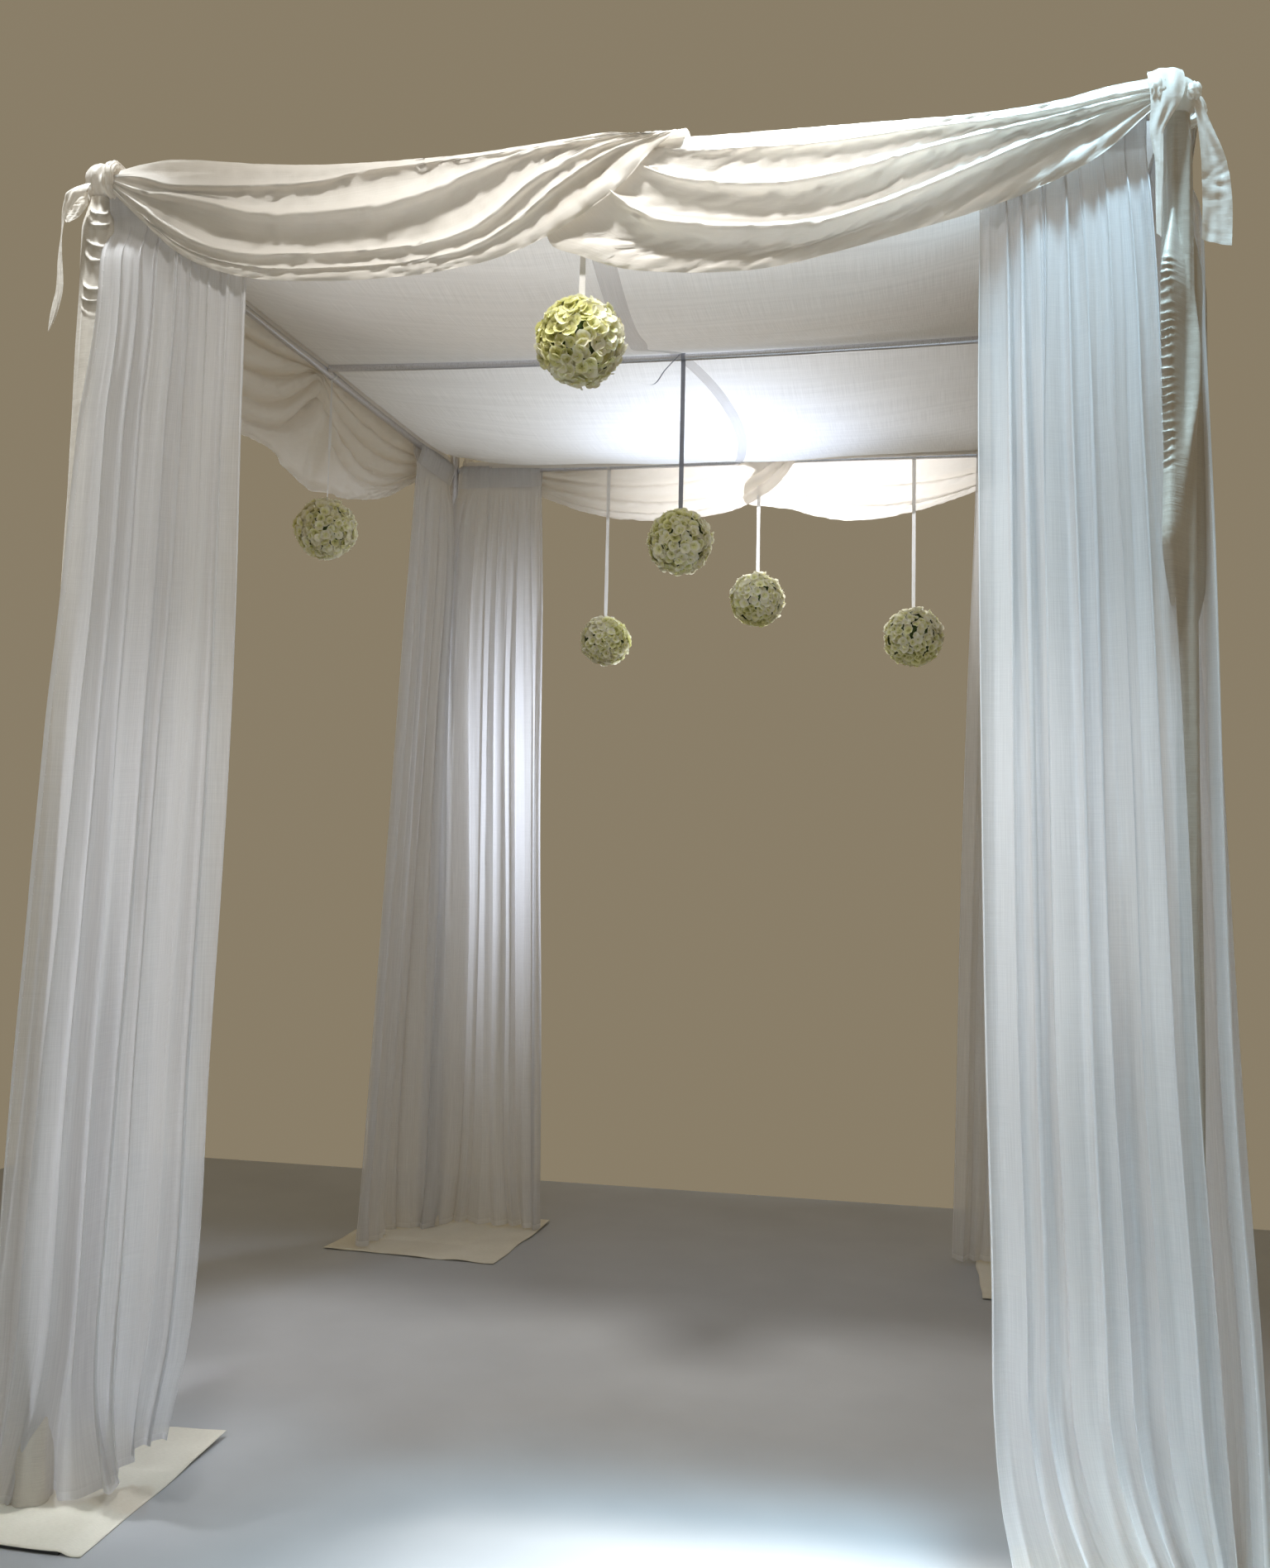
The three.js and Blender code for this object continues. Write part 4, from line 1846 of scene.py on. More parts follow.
def front_swags() -> list[Swag]:
    """The two swags of the front, which cross right of the middle.

    Returns:
        The left one and the right one.
    """
    left = Swag(
        name="swag_front_left",
        side=Side.FRONT,
        node="valance_front",
        top=((-1175, 3044), (-1100, 3060), (-1030, 3066), (-930, 3056), (-820, 3041), (-620, 3024),
             (-450, 3021), (-300, 3023), (-150, 3033), (-50, 3041), (30, 3044)),
        folds=(
            ((-1172, 3020, 3), (-1090, 3010, 10), (-1030, 2990, 15), (-930, 2976, 18), (-780, 2967, 16),
             (-620, 2970, 12), (-540, 2986, 6), (-400, 2996, 3), (-200, 3006, 3), (-50, 3018, 4),
             (45, 3026, 3)),
            ((-1170, 3010, 3), (-1090, 2976, 12), (-1000, 2955, 20), (-930, 2936, 24), (-790, 2894, 28),
             (-670, 2884, 30), (-570, 2885, 30), (-450, 2897, 28), (-370, 2917, 26), (-300, 2947, 22),
             (-220, 2976, 18), (-140, 3000, 13), (-30, 3012, 8), (60, 3020, 4)),
            ((-1168, 3000, 3), (-1090, 2942, 10), (-1020, 2888, 14), (-930, 2838, 14), (-830, 2810, 12),
             (-700, 2802, 8), (-500, 2800, 5), (-360, 2808, 8), (-270, 2830, 14), (-200, 2872, 20),
             (-140, 2920, 22), (-60, 2966, 16), (20, 2996, 10), (78, 3010, 4)),
            ((-1166, 2990, 2), (-1080, 2915, 4), (-1000, 2852, 4), (-900, 2804, 4), (-800, 2780, 3),
             (-600, 2766, 3), (-400, 2770, 5), (-270, 2790, 12), (-170, 2838, 18), (-80, 2905, 20),
             (0, 2955, 16), (50, 2984, 9), (95, 3000, 4)),
        ),
        hem=((-1164, 2980), (-1063, 2886), (-986, 2822), (-890, 2777), (-806, 2755), (-684, 2741),
             (-564, 2736), (-446, 2737), (-329, 2746), (-215, 2766), (-122, 2797), (-29, 2843),
             (44, 2888), (90, 2930), (125, 2972)),
        ends=(Gather.KNOT, Gather.OVER),
        seed=41,
        rise_out=(0.030, 0.040, 0.032),
    )
    right = Swag(
        name="swag_front_right",
        side=Side.FRONT,
        node="valance_front",
        top=((150, 3020), (220, 3022), (350, 3021), (500, 3021), (680, 3021), (850, 3024), (1000, 3040),
             (1090, 3058), (1170, 3064)),
        folds=(
            ((145, 2990, 3), (200, 2978, 8), (350, 2972, 8), (510, 2970, 10), (600, 2976, 10),
             (715, 2986, 8), (850, 2994, 6), (1000, 3010, 6), (1100, 3024, 5), (1172, 3032, 3)),
            ((85, 2975, 3), (110, 2948, 10), (155, 2922, 16), (280, 2890, 22), (430, 2880, 24),
             (580, 2902, 22), (715, 2934, 18), (850, 2962, 14), (980, 2986, 10), (1080, 3006, 8),
             (1170, 3019, 3)),
            ((30, 2970, 3), (20, 2935, 8), (35, 2900, 14), (80, 2855, 22), (137, 2820, 30),
             (210, 2803, 34), (290, 2792, 34), (410, 2787, 34), (510, 2793, 32), (600, 2814, 30),
             (685, 2840, 28), (785, 2876, 24), (900, 2921, 18), (1030, 2966, 12), (1100, 2988, 8),
             (1168, 3005, 3)),
        ),
        hem=((-20, 2975), (-75, 2900), (-105, 2840), (-100, 2797), (-30, 2764), (66, 2731), (157, 2718),
             (250, 2711), (389, 2714), (528, 2739), (682, 2771), (817, 2802), (949, 2843), (1063, 2897),
             (1164, 2980)),
        ends=(Gather.UNDER, Gather.KNOT),
        seed=47,
        rise_out=(0.030, 0.036, 0.013),
    )
    return [left, right]


def rear_swags() -> list[Swag]:
    """The two swags of the rear. The left one ends inside the bar.

    Returns:
        The left one and the right one.
    """
    left = Swag(
        name="swag_rear_left",
        side=Side.REAR,
        node="valance_rear",
        top=((-1170, 3036), (-1000, 3031), (-850, 3025), (-600, 3021), (-360, 3021), (-130, 3031),
             (-20, 3038), (50, 3038)),
        folds=(
            ((-1170, 3018, 3), (-1000, 2990, 12), (-860, 2975, 18), (-700, 2948, 20), (-500, 2932, 20),
             (-300, 2936, 20), (-120, 2965, 16), (0, 3000, 10), (70, 3016, 4)),
            ((-1168, 3004, 3), (-1000, 2965, 10), (-850, 2940, 16), (-700, 2900, 20), (-500, 2874, 24),
             (-300, 2868, 24), (-100, 2897, 20), (0, 2935, 16), (60, 2966, 10), (100, 2996, 4)),
            ((-1166, 2990, 2), (-1000, 2947, 5), (-850, 2912, 8), (-700, 2858, 11), (-500, 2824, 14),
             (-330, 2816, 16), (-150, 2838, 16), (-20, 2878, 14), (80, 2930, 10), (130, 2980, 4)),
        ),
        hem=((-1164, 2980), (-1000, 2934), (-860, 2890), (-700, 2831), (-530, 2792), (-363, 2783),
             (-200, 2794), (-80, 2818), (30, 2853), (110, 2903), (155, 2960)),
        ends=(Gather.KNOT, Gather.OVER),
        inward=0.085,
        flat=(1.25, 0.40),
        seed=53,
    )
    right = Swag(
        name="swag_rear_right",
        side=Side.REAR,
        node="valance_rear",
        top=((150, 3019), (300, 3021), (600, 3021), (830, 3022), (1000, 3030), (1170, 3038)),
        folds=(
            ((150, 2985, 3), (200, 2957, 10), (290, 2928, 18), (450, 2908, 22), (600, 2908, 22),
             (830, 2938, 18), (1000, 2978, 10), (1172, 3018, 3)),
            ((90, 2970, 3), (130, 2918, 12), (220, 2872, 20), (350, 2842, 24), (500, 2834, 26),
             (650, 2848, 24), (830, 2890, 20), (1000, 2945, 10), (1170, 3002, 3)),
        ),
        hem=((20, 2975), (-20, 2905), (-30, 2850), (50, 2830), (145, 2815), (250, 2785), (321, 2770),
             (430, 2767), (542, 2778), (697, 2813), (830, 2857), (1000, 2918), (1166, 2982)),
        flat=(1.20, 0.37),
        ends=(Gather.UNDER, Gather.KNOT),
        seed=59,
    )
    return [left, right]


def side_swag(side: Side, seed: int) -> Swag:
    """The satin of a side: one length, caught up by a tie in the middle of the bar.

    Args:
        side: which side.
        seed: makes its creases its own.

    Returns:
        The swag.
    """
    return Swag(
        name=f"swag_{side.value}",
        side=side,
        node=f"valance_{side.value}",
        top=((-1250, 3038), (-1100, 3036), (-900, 3026), (-600, 3021), (-300, 3021), (-100, 3024),
             (40, 3026), (200, 3022), (600, 3021), (900, 3024), (1100, 3034), (1250, 3038)),
        folds=(
            ((-1250, 3020, 3), (-1100, 2998, 10), (-850, 2968, 18), (-600, 2952, 20), (-400, 2957, 20),
             (-220, 2974, 18), (-80, 2992, 10), (40, 3004, 3), (130, 2990, 10), (300, 2967, 16),
             (600, 2952, 20), (900, 2968, 16), (1100, 2995, 10), (1250, 3020, 3)),
            ((-1248, 3006, 3), (-1100, 2952, 12), (-900, 2900, 20), (-700, 2874, 24), (-490, 2866, 26),
             (-270, 2894, 26), (-110, 2946, 18), (-20, 2982, 9), (40, 2992, 3), (120, 2952, 10),
             (300, 2906, 18), (550, 2882, 22), (800, 2906, 18), (1050, 2962, 10), (1248, 3006, 3)),
            ((-1246, 2994, 3), (-1100, 2910, 10), (-900, 2832, 18), (-700, 2796, 24), (-480, 2784, 28),
             (-260, 2812, 28), (-120, 2868, 22), (-30, 2930, 12), (40, 2978, 3), (110, 2908, 10),
             (300, 2832, 16), (500, 2806, 18), (750, 2838, 16), (1000, 2918, 10), (1246, 2994, 3)),
            ((-1244, 2984, 2), (-1100, 2882, 8), (-900, 2778, 12), (-700, 2730, 16), (-480, 2716, 18),
             (-280, 2735, 18), (-130, 2790, 14), (-40, 2860, 8), (40, 2915, 3), (120, 2842, 8),
             (300, 2762, 10), (500, 2752, 12), (730, 2802, 12), (900, 2870, 10), (1100, 2940, 6),
             (1244, 2984, 2)),
        ),
        hem=((-1242, 2976), (-1120, 2868), (-950, 2750), (-800, 2692), (-620, 2657), (-500, 2655),
             (-350, 2664), (-250, 2664), (-170, 2642), (-50, 2614), (40, 2614), (135, 2628),
             (300, 2648), (490, 2688), (730, 2762), (890, 2838), (1080, 2916), (1242, 2976)),
        ends=(Gather.KNOT, Gather.KNOT),
        seed=seed,
        columns=260,
        flat=(2.55, 0.50),
        fan=0.04,
    )


# Corner ties


@dataclass(frozen=True)
class Tail:
    """A hanging end of a tie. Its lengths are in millimetres.

    Args:
        route: (x, y, z) points from the pole's centre line, with height above the floor.
        widths: its width at each point.
        turns: the direction of its width at each point, in degrees from +X.
        cut: how much lower the outer corner of its end hangs.
        crumple: strength of the creases across it.
    """

    route: Points
    widths: Sequence[float]
    turns: Sequence[float]
    cut: float = 20
    crumple: float = 1.0

    def reach(self) -> float:
        """Length of the tail along its route, in metres."""
        steps = np.diff(metres(self.route), axis=0)
        return float(np.linalg.norm(steps, axis=1).sum())

    def grid(self, rows: int, columns: int, seed: int) -> Array:
        """Positions of the tail relative to the pole's foot, in metres.

        Args:
            rows: divisions down.
            columns: divisions across.
            seed: makes its creases its own.

        Returns:
            An array of shape (rows + 1, columns + 1, 3).
        """
        at = np.linspace(0, 1, rows + 1)
        values = (metres(self.route), metres(self.widths), np.radians(self.turns))
        line = course(np.column_stack(values), at)
        centre, width, turn = line[:, :3], line[:, 3], line[:, 4]
        sideways = np.stack([np.cos(turn), np.sin(turn), 0 * turn], axis=1)
        outward = np.stack([-np.sin(turn), np.cos(turn), 0 * turn], axis=1)
        across = np.linspace(-0.5, 0.5, columns + 1)
        ripple, pucker = Wander(seed), Wander(seed + 1)
        grid = np.empty((rows + 1, columns + 1, 3))
        for i in range(rows + 1):
            cup = 0.16 * width[i] * np.cos(math.pi * across) * (1 - 0.5 * at[i])
            waves = 0.05 * width[i] * ripple.at(across * 2, at[i] * 3)
            crease = np.abs(pucker.at(at[i] * 6 + 0.4 * across, across * 1.1 + at[i]))
            crumple = self.crumple * (0.5 + 0.5 * ripple.at(at[i] * 2))
            waves = waves + 0.07 * width[i] * (0.4 - crease) * crumple
            aside = np.outer(across * width[i], sideways[i])
            grid[i] = centre[i] + aside + np.outer(cup + waves, outward[i])
            grid[i, :, 2] -= self.cut / 1000 * (across + 0.5) * smooth(0.75, 1.0, at[i])
        return grid


@dataclass
class CornerTie:
    """The satin wrapped round a pole top, the bands beside it and its hanging ends.

    Args:
        corner: which pole.
        shop: the workshop.
        tails: its hanging ends, by name.
        outside: how far outside the pole the knot sits, or 0 where it covers the pole top.
        wraps: folds round the knot.
        roll: depth of those folds.
        pinch_at: place of a small second knot from the pole's centre line, or nothing.
        seed: makes its folds its own.
        radius: radius of the knot.
        middle: height of its middle above the floor.
        half_height: half its height.
        band_along: distance of the bands from the pole.
        band_thick: half the thickness of a band.
        pinch_radius: radius of the small knot's centre line.
        pinch_thick: half the thickness of its roll.
        flat: width and length of the knot's cloth before it is gathered.
        band_flat: the same for a band.
        pinch_flat: the same for the small knot.
    """

    corner: Corner
    shop: Workshop
    tails: dict[str, Tail] = field(default_factory=dict)
    outside: float = 0.0
    wraps: int = 9
    roll: float = 0.0032
    pinch_at: Place | None = None
    seed: int = 71
    radius: float = 0.037
    middle: float = 3.026
    half_height: float = 0.045
    band_along: float = 0.044
    band_thick: float = 0.0095
    pinch_radius: float = 0.005
    pinch_thick: float = 0.008
    flat: tuple[float, float] = (0.22, 0.12)
    band_flat: tuple[float, float] = (0.2, 0.05)
    pinch_flat: tuple[float, float] = (0.06, 0.05)

    def knot(self, around: Array, down: Array) -> Array:
        """World positions of the wrap.

        Args:
            around: fractions of the way round.
            down: fractions of the way down.

        Returns:
            An array of shape (..., 3).
        """
        sx, sy = self.corner.signs
        sway = Wander(self.seed)
        lean = math.pi * (0.86 * down)
        angle = math.atan2(-sy, -sx) + TURN * around * 1.04
        folds = np.cos(self.wraps * angle + 1.4 * lean + 1.6 * sway.at(around * 2, down * 1.5))
        cross = np.cos(TURN * (1.6 * down + 0.3 * sway.at(around * 2 + 4)))
        radius = self.radius * np.sin(lean) ** 0.7
        creased = self.roll * folds + 0.0022 * cross + 0.0015 * sway.at(around * 7, down * 4)
        radius = radius + np.sin(lean) * creased
        radius = radius + 0.0012 * smooth(0.95, 1.0, around)
        z = self.middle + self.half_height * np.cos(lean)
        z = z + 0.003 * sway.at(around * 3, 0.5) * np.sin(lean)
        px, py = self.corner.pole.xy + Vector((sx, sy)) * self.outside
        return np.stack([px + radius * np.cos(angle), py + radius * np.sin(angle), z], axis=-1)

    def band(self, side: Side) -> Callable[[Array, Array], Array]:
        """The band that bunches the end of a swag, as a puckered ring round it and the bar.

        Args:
            side: the bar.

        Returns:
            The function that gives its world positions.
        """
        along = self.corner.signs[0 if side.crosswise else 1] * (side.reach - self.band_along)
        wrap = Wander(self.seed + (3 if side.crosswise else 4))
        centre, reach = (0.038, 0.020) if self.outside else (0.018, 0.036)

        def shape(around: Array, down: Array) -> Array:
            """World positions of the ring.

            Args:
                around: fractions of the way round.
                down: fractions of the way round its roll.

            Returns:
                An array of shape (..., 3).
            """
            angle, tube = TURN * around, TURN * down
            pleat = 0.0018 * np.cos(7 * tube + 2 * wrap.at(around * 2))
            pleat = pleat + 0.0014 * wrap.at(around * 5, down * 3)
            thick = self.band_thick + pleat
            out = centre + (reach + thick * np.cos(tube)) * np.cos(angle)
            up = BAR_HEIGHT + 0.022 + (0.034 + thick * np.cos(tube)) * np.sin(angle)
            run = along + (thick + 0.003) * np.sin(tube) + 0.004 * np.sin(angle + 0.7)
            return side.place(run, out, up)

        return shape

    def pinch(self, around: Array, down: Array) -> Array:
        """World positions of the small knot that a tail hangs from.

        Args:
            around: fractions of the way round.
            down: fractions of the way round its roll.

        Returns:
            An array of shape (..., 3).
        """
        angle, tube = TURN * around, TURN * down
        wrap = Wander(self.seed + 6)
        uneven = 1 + 0.22 * np.cos(5 * angle + 2 * tube) + 0.15 * wrap.at(around * 4, down * 3)
        thick = self.pinch_thick * uneven
        reach = self.pinch_radius + thick * np.cos(tube)
        px, py = self.corner.pole.xy
        x, y, z = self.pinch_at
        tall = 1.9 * thick * np.sin(tube)
        return np.stack([px + x + reach * np.cos(angle), py + y + reach * np.sin(angle), z + tall], axis=-1)

    def build(self) -> None:
        """Makes the tie's pieces."""
        name, satin = self.corner.label, self.shop.finishes.satin
        node = f"corner_tie_{name}"
        knot = Weft(*self.flat, 80, 36).hang(f"knot_{name}", self.knot, satin, tube=True)
        self.shop.keep(knot, "satin", node)
        for side in self.corner.sides:
            weft = Weft(*self.band_flat, 64, 26)
            ring = weft.hang(f"band_{name}_{side.value}", self.band(side), satin, tube=True)
            self.shop.keep(ring, "satin", node)
        for label, tail in self.tails.items():
            grid = tail.grid(80, 14, self.seed + len(label)) + np.array(self.corner.pole)
            flat = (float(metres(tail.widths).mean()), tail.reach())
            piece = Weft(*flat, 14, 80).loft(f"tail_{name}_{label}", grid, satin)
            self.shop.keep(piece, "satin", node)
        if self.pinch_at:
            weft = Weft(*self.pinch_flat, 40, 20)
            small = weft.hang(f"small_knot_{name}", self.pinch, satin, tube=True)
            self.shop.keep(small, "satin", node)


# Flower balls


@dataclass
class FlowerBall:
    """A ball of foam set with florets, hung on a ribbon.

    Args:
        name: the end of the node's name.
        shop: the workshop.
        florets: how many florets cover it.
        seed: makes each ball its own.
        grey: whether its ribbon has the dark grey-blue satin that paints the shade it hangs in.
        loose_end: route of the loose end of its ribbon's knot, or nothing.
        floret: radius of a floret.
        petals: petals in a floret.
        turn_length: length of the ribbon's turn round the bar.
        slack: distance between the bar and that turn.
        end_width: the loose end's width; not used. end_width: the loose end's declared
            width, the least that a sheet may have.
        end_share: the cloth in the loose end, as a width along its whole length; not used.
    """

    name: str
    shop: Workshop
    florets: int = 270
    seed: int = 101
    grey: bool = False
    loose_end: Points = ()
    floret: float = 0.0165
    petals: int = 4
    turn_length: float = 0.12
    slack: float = 0.0010
    end_width: float = 0.010
    end_share: float = 0.0038

    def petal(self) -> bmesh.types.BMesh:
        """One cupped petal, its root at the origin and its tip towards +X.

        Returns:
            The petal, about one unit long.
        """
        bm = bmesh.new()
        bmesh.ops.create_grid(bm, x_segments=3, y_segments=2, size=0.5)
        for vert in bm.verts:
            u, v = vert.co.x + 0.5, vert.co.y * 2
            width = 0.30 + 0.72 * math.sin(math.pi * min(1.0, 0.18 + 0.72 * u)) ** 0.8
            tip = 1 - 0.16 * v * v * u
            cup = 0.06 * u * u + 0.07 * v * v * u - 0.05 * math.sin(5 * u)
            vert.co = Vector((u * tip, 0.66 * v * width, cup))
        return bm

    def floret_mesh(self) -> bpy.types.Mesh:
        """Four petals in a ring, with the tint from the heart to the rim.

        Returns:
            The floret's mesh, about one unit in radius.
        """
        single = self.petal()
        piece = bpy.data.meshes.new("petal")
        single.to_mesh(piece)
        single.free()
        bm = bmesh.new()
        tint = bm.verts.layers.float.new(TINT)
        for i in range(self.petals):
            start = len(bm.verts)
            bm.from_mesh(piece)
            bm.verts.ensure_lookup_table()
            fresh = bm.verts[start:]
            for vert in fresh:
                vert[tint] = 0.15 + 0.55 * math.hypot(vert.co.x, vert.co.y)
            tilt = Matrix.Rotation(math.radians(-7 - 8 * (i % 2)), 4, "Y")
            turn = Matrix.Rotation(TURN * i / self.petals, 4, "Z")
            place = turn @ tilt @ Matrix.Translation((0.06, 0, 0))
            bmesh.ops.transform(bm, matrix=place, verts=fresh)
        mesh = bpy.data.meshes.new("floret")
        bm.to_mesh(mesh)
        bm.free()
        return mesh

    def build(self) -> None:
        """Makes the foam, the florets and the ribbon."""
        node = f"flower_ball_{self.name}"
        centre = node_centre(node)
        low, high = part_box(node)
        radius = (high.z - low.z) / 2
        self.foam(centre, radius * 0.86)
        floret = self.floret_mesh()
        draw = np.random.default_rng(self.seed)
        swell = Wander(self.seed)
        bm = bmesh.new()
        tint = bm.verts.layers.float.new(TINT)
        golden = math.pi * (3 - math.sqrt(5))
        patch = Vector(draw.normal(size=3)).normalized()
        for i in range(self.florets):
            up = 1 - 2 * (i + 0.5) / self.florets
            angle = golden * i + draw.uniform(-0.12, 0.12)
            ring = math.sqrt(1 - up * up)
            direction = Vector((ring * math.cos(angle), ring * math.sin(angle), up))
            size = self.floret * draw.uniform(0.82, 1.22)
            depth = radius * (0.93 + 0.035 * float(swell.at(3 * direction.x, 3 * direction.z)))
            depth += draw.uniform(-0.004, 0.003)
            lean = Euler(draw.uniform(-0.45, 0.45, 3)).to_matrix().to_4x4()
            spin = Matrix.Rotation(draw.uniform(0, TURN), 4, "Z")
            face = direction.to_track_quat("Z", "Y").to_matrix().to_4x4()
            set_in = Matrix.Translation(centre + direction * depth)
            place = set_in @ face @ lean @ spin @ Matrix.Scale(size, 4)
            start = len(bm.verts)
            bm.from_mesh(floret)
            bm.verts.ensure_lookup_table()
            fresh = bm.verts[start:]
            bmesh.ops.transform(bm, matrix=place, verts=fresh)
            green = smooth(0.1, 0.9, direction.dot(patch)) * 0.26
            shade = draw.uniform(-0.14, 0.24) - float(green)
            for vert in fresh:
                vert[tint] = vert[tint] + shade
        bpy.data.meshes.remove(floret)
        piece = from_bmesh(f"florets_{self.name}", bm, self.shop.finishes.petals)
        self.shop.keep(piece, "flowers", node)
        self.ribbon(centre, radius)

    def foam(self, centre: Vector, radius: float) -> None:
        """Makes the foam that the florets stand in.

        Args:
            centre: the ball's centre.
            radius: the foam's radius.
        """
        bm = bmesh.new()
        bmesh.ops.create_icosphere(bm, subdivisions=4, radius=radius)
        rough = Wander(self.seed + 7)
        for vert in bm.verts:
            p = vert.co.normalized()
            vert.co *= 1 + 0.02 * float(rough.at(4 * p.x + 2 * p.y, 4 * p.z))
        bmesh.ops.translate(bm, vec=centre, verts=bm.verts)
        piece = from_bmesh(f"foam_{self.name}", bm, self.shop.finishes.foam)
        self.shop.keep(piece, "flowers", f"flower_ball_{self.name}")

    def ribbon(self, centre: Vector, radius: float) -> None:
        """Makes the ribbon from its bar down into the florets, and its turn round the bar.

        Args:
            centre: the ball's centre.
            radius: the ball's radius.
        """
        node = f"ribbon_{self.name}"
        low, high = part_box(node)
        mid = (low + high) / 2
        across_x = (high.x - low.x) > (high.y - low.y)
        width = max(high.x - low.x, high.y - low.y)
        sway = Wander(self.seed + 3)
        drop = high.z - (centre.z + radius * 0.80)
        # The darker ribbon satin is painted shade.
        finish = self.shop.finishes.grey_ribbon if self.grey else self.shop.finishes.ribbon

        def strip(across: Array, down: Array) -> Array:
            """World positions of the hanging length.

            Args:
                across: fractions across the ribbon.
                down: fractions down it.

            Returns:
                An array of shape (..., 3).
            """
            z = high.z - down * drop
            free = np.sin(math.pi * down)
            turn = 0.35 * np.sin(2.2 * down * math.pi + self.seed) * free
            side = (across - 0.5) * width * (1 - 0.25 * smooth(0.9, 1.0, down))
            cup = 0.0012 * np.cos(math.pi * (across - 0.5)) + 0.0012 * free * sway.at(down * 2)
            a, b = side * np.cos(turn), side * np.sin(turn) + cup
            x, y = (a, b) if across_x else (b, a)
            return np.stack([mid.x + x, mid.y + y, z], axis=-1)

        piece = Weft(width, drop, 6, 80).hang(f"hanging_ribbon_{self.name}", strip, finish)
        self.shop.keep(piece, "ribbon", node)
        bar_radius = MIDDLE_RADIUS if self.name == "middle" else BAR_RADIUS
        loop_radius = bar_radius + self.slack
        bar_z = high.z + bar_radius + 0.0003

        def ring(around: Array, down: Array) -> Array:
            """World positions of the turn round the bar.

            Args:
                around: fractions of the way round.
                down: fractions across the ribbon.

            Returns:
                An array of shape (..., 3).
            """
            angle = TURN * around
            side = (down - 0.5) * width * 0.9
            r = loop_radius + 0.0006 * np.cos(3 * angle)
            a, b = r * np.cos(angle), r * np.sin(angle)
            if across_x:
                return np.stack([mid.x + side, mid.y + a, bar_z + b], axis=-1)
            return np.stack([mid.x + a, mid.y + side, bar_z + b], axis=-1)

        turn = Weft(self.turn_length, width, 36, 3).hang(f"ribbon_turn_{self.name}", ring, finish, tube=True)
        self.shop.keep(turn, "ribbon")
        if self.loose_end:
            self.end(finish)

    def end(self, finish: Material) -> None:
        """Makes the loose end of the ribbon's knot, a narrow twisted strip.

        Args:
            finish: the ribbon's finish.
        """
        end = Tail(self.loose_end, (4, 4, 4, 3), (0, 10, 40, 60), cut=0)
        length = end.reach()
        weft = Weft(float(metres(end.widths)[0]), length, 2, 40)
        piece = weft.loft(f"ribbon_end_{self.name}", end.grid(40, 2, self.seed), finish)
        self.shop.keep(piece, "ribbon")


# Studio


@dataclass(frozen=True)
class Lamp:
    """A round soft lamp.

    Args:
        name: its name.
        place: where it hangs.
        aim: where it points.
        size: its diameter.
        spread: how widely it fans out, in degrees.
        power: its power in watts.
        colour: its colour.
    """

    name: str
    place: Place
    aim: Place
    size: float
    spread: float
    power: float
    colour: Colour


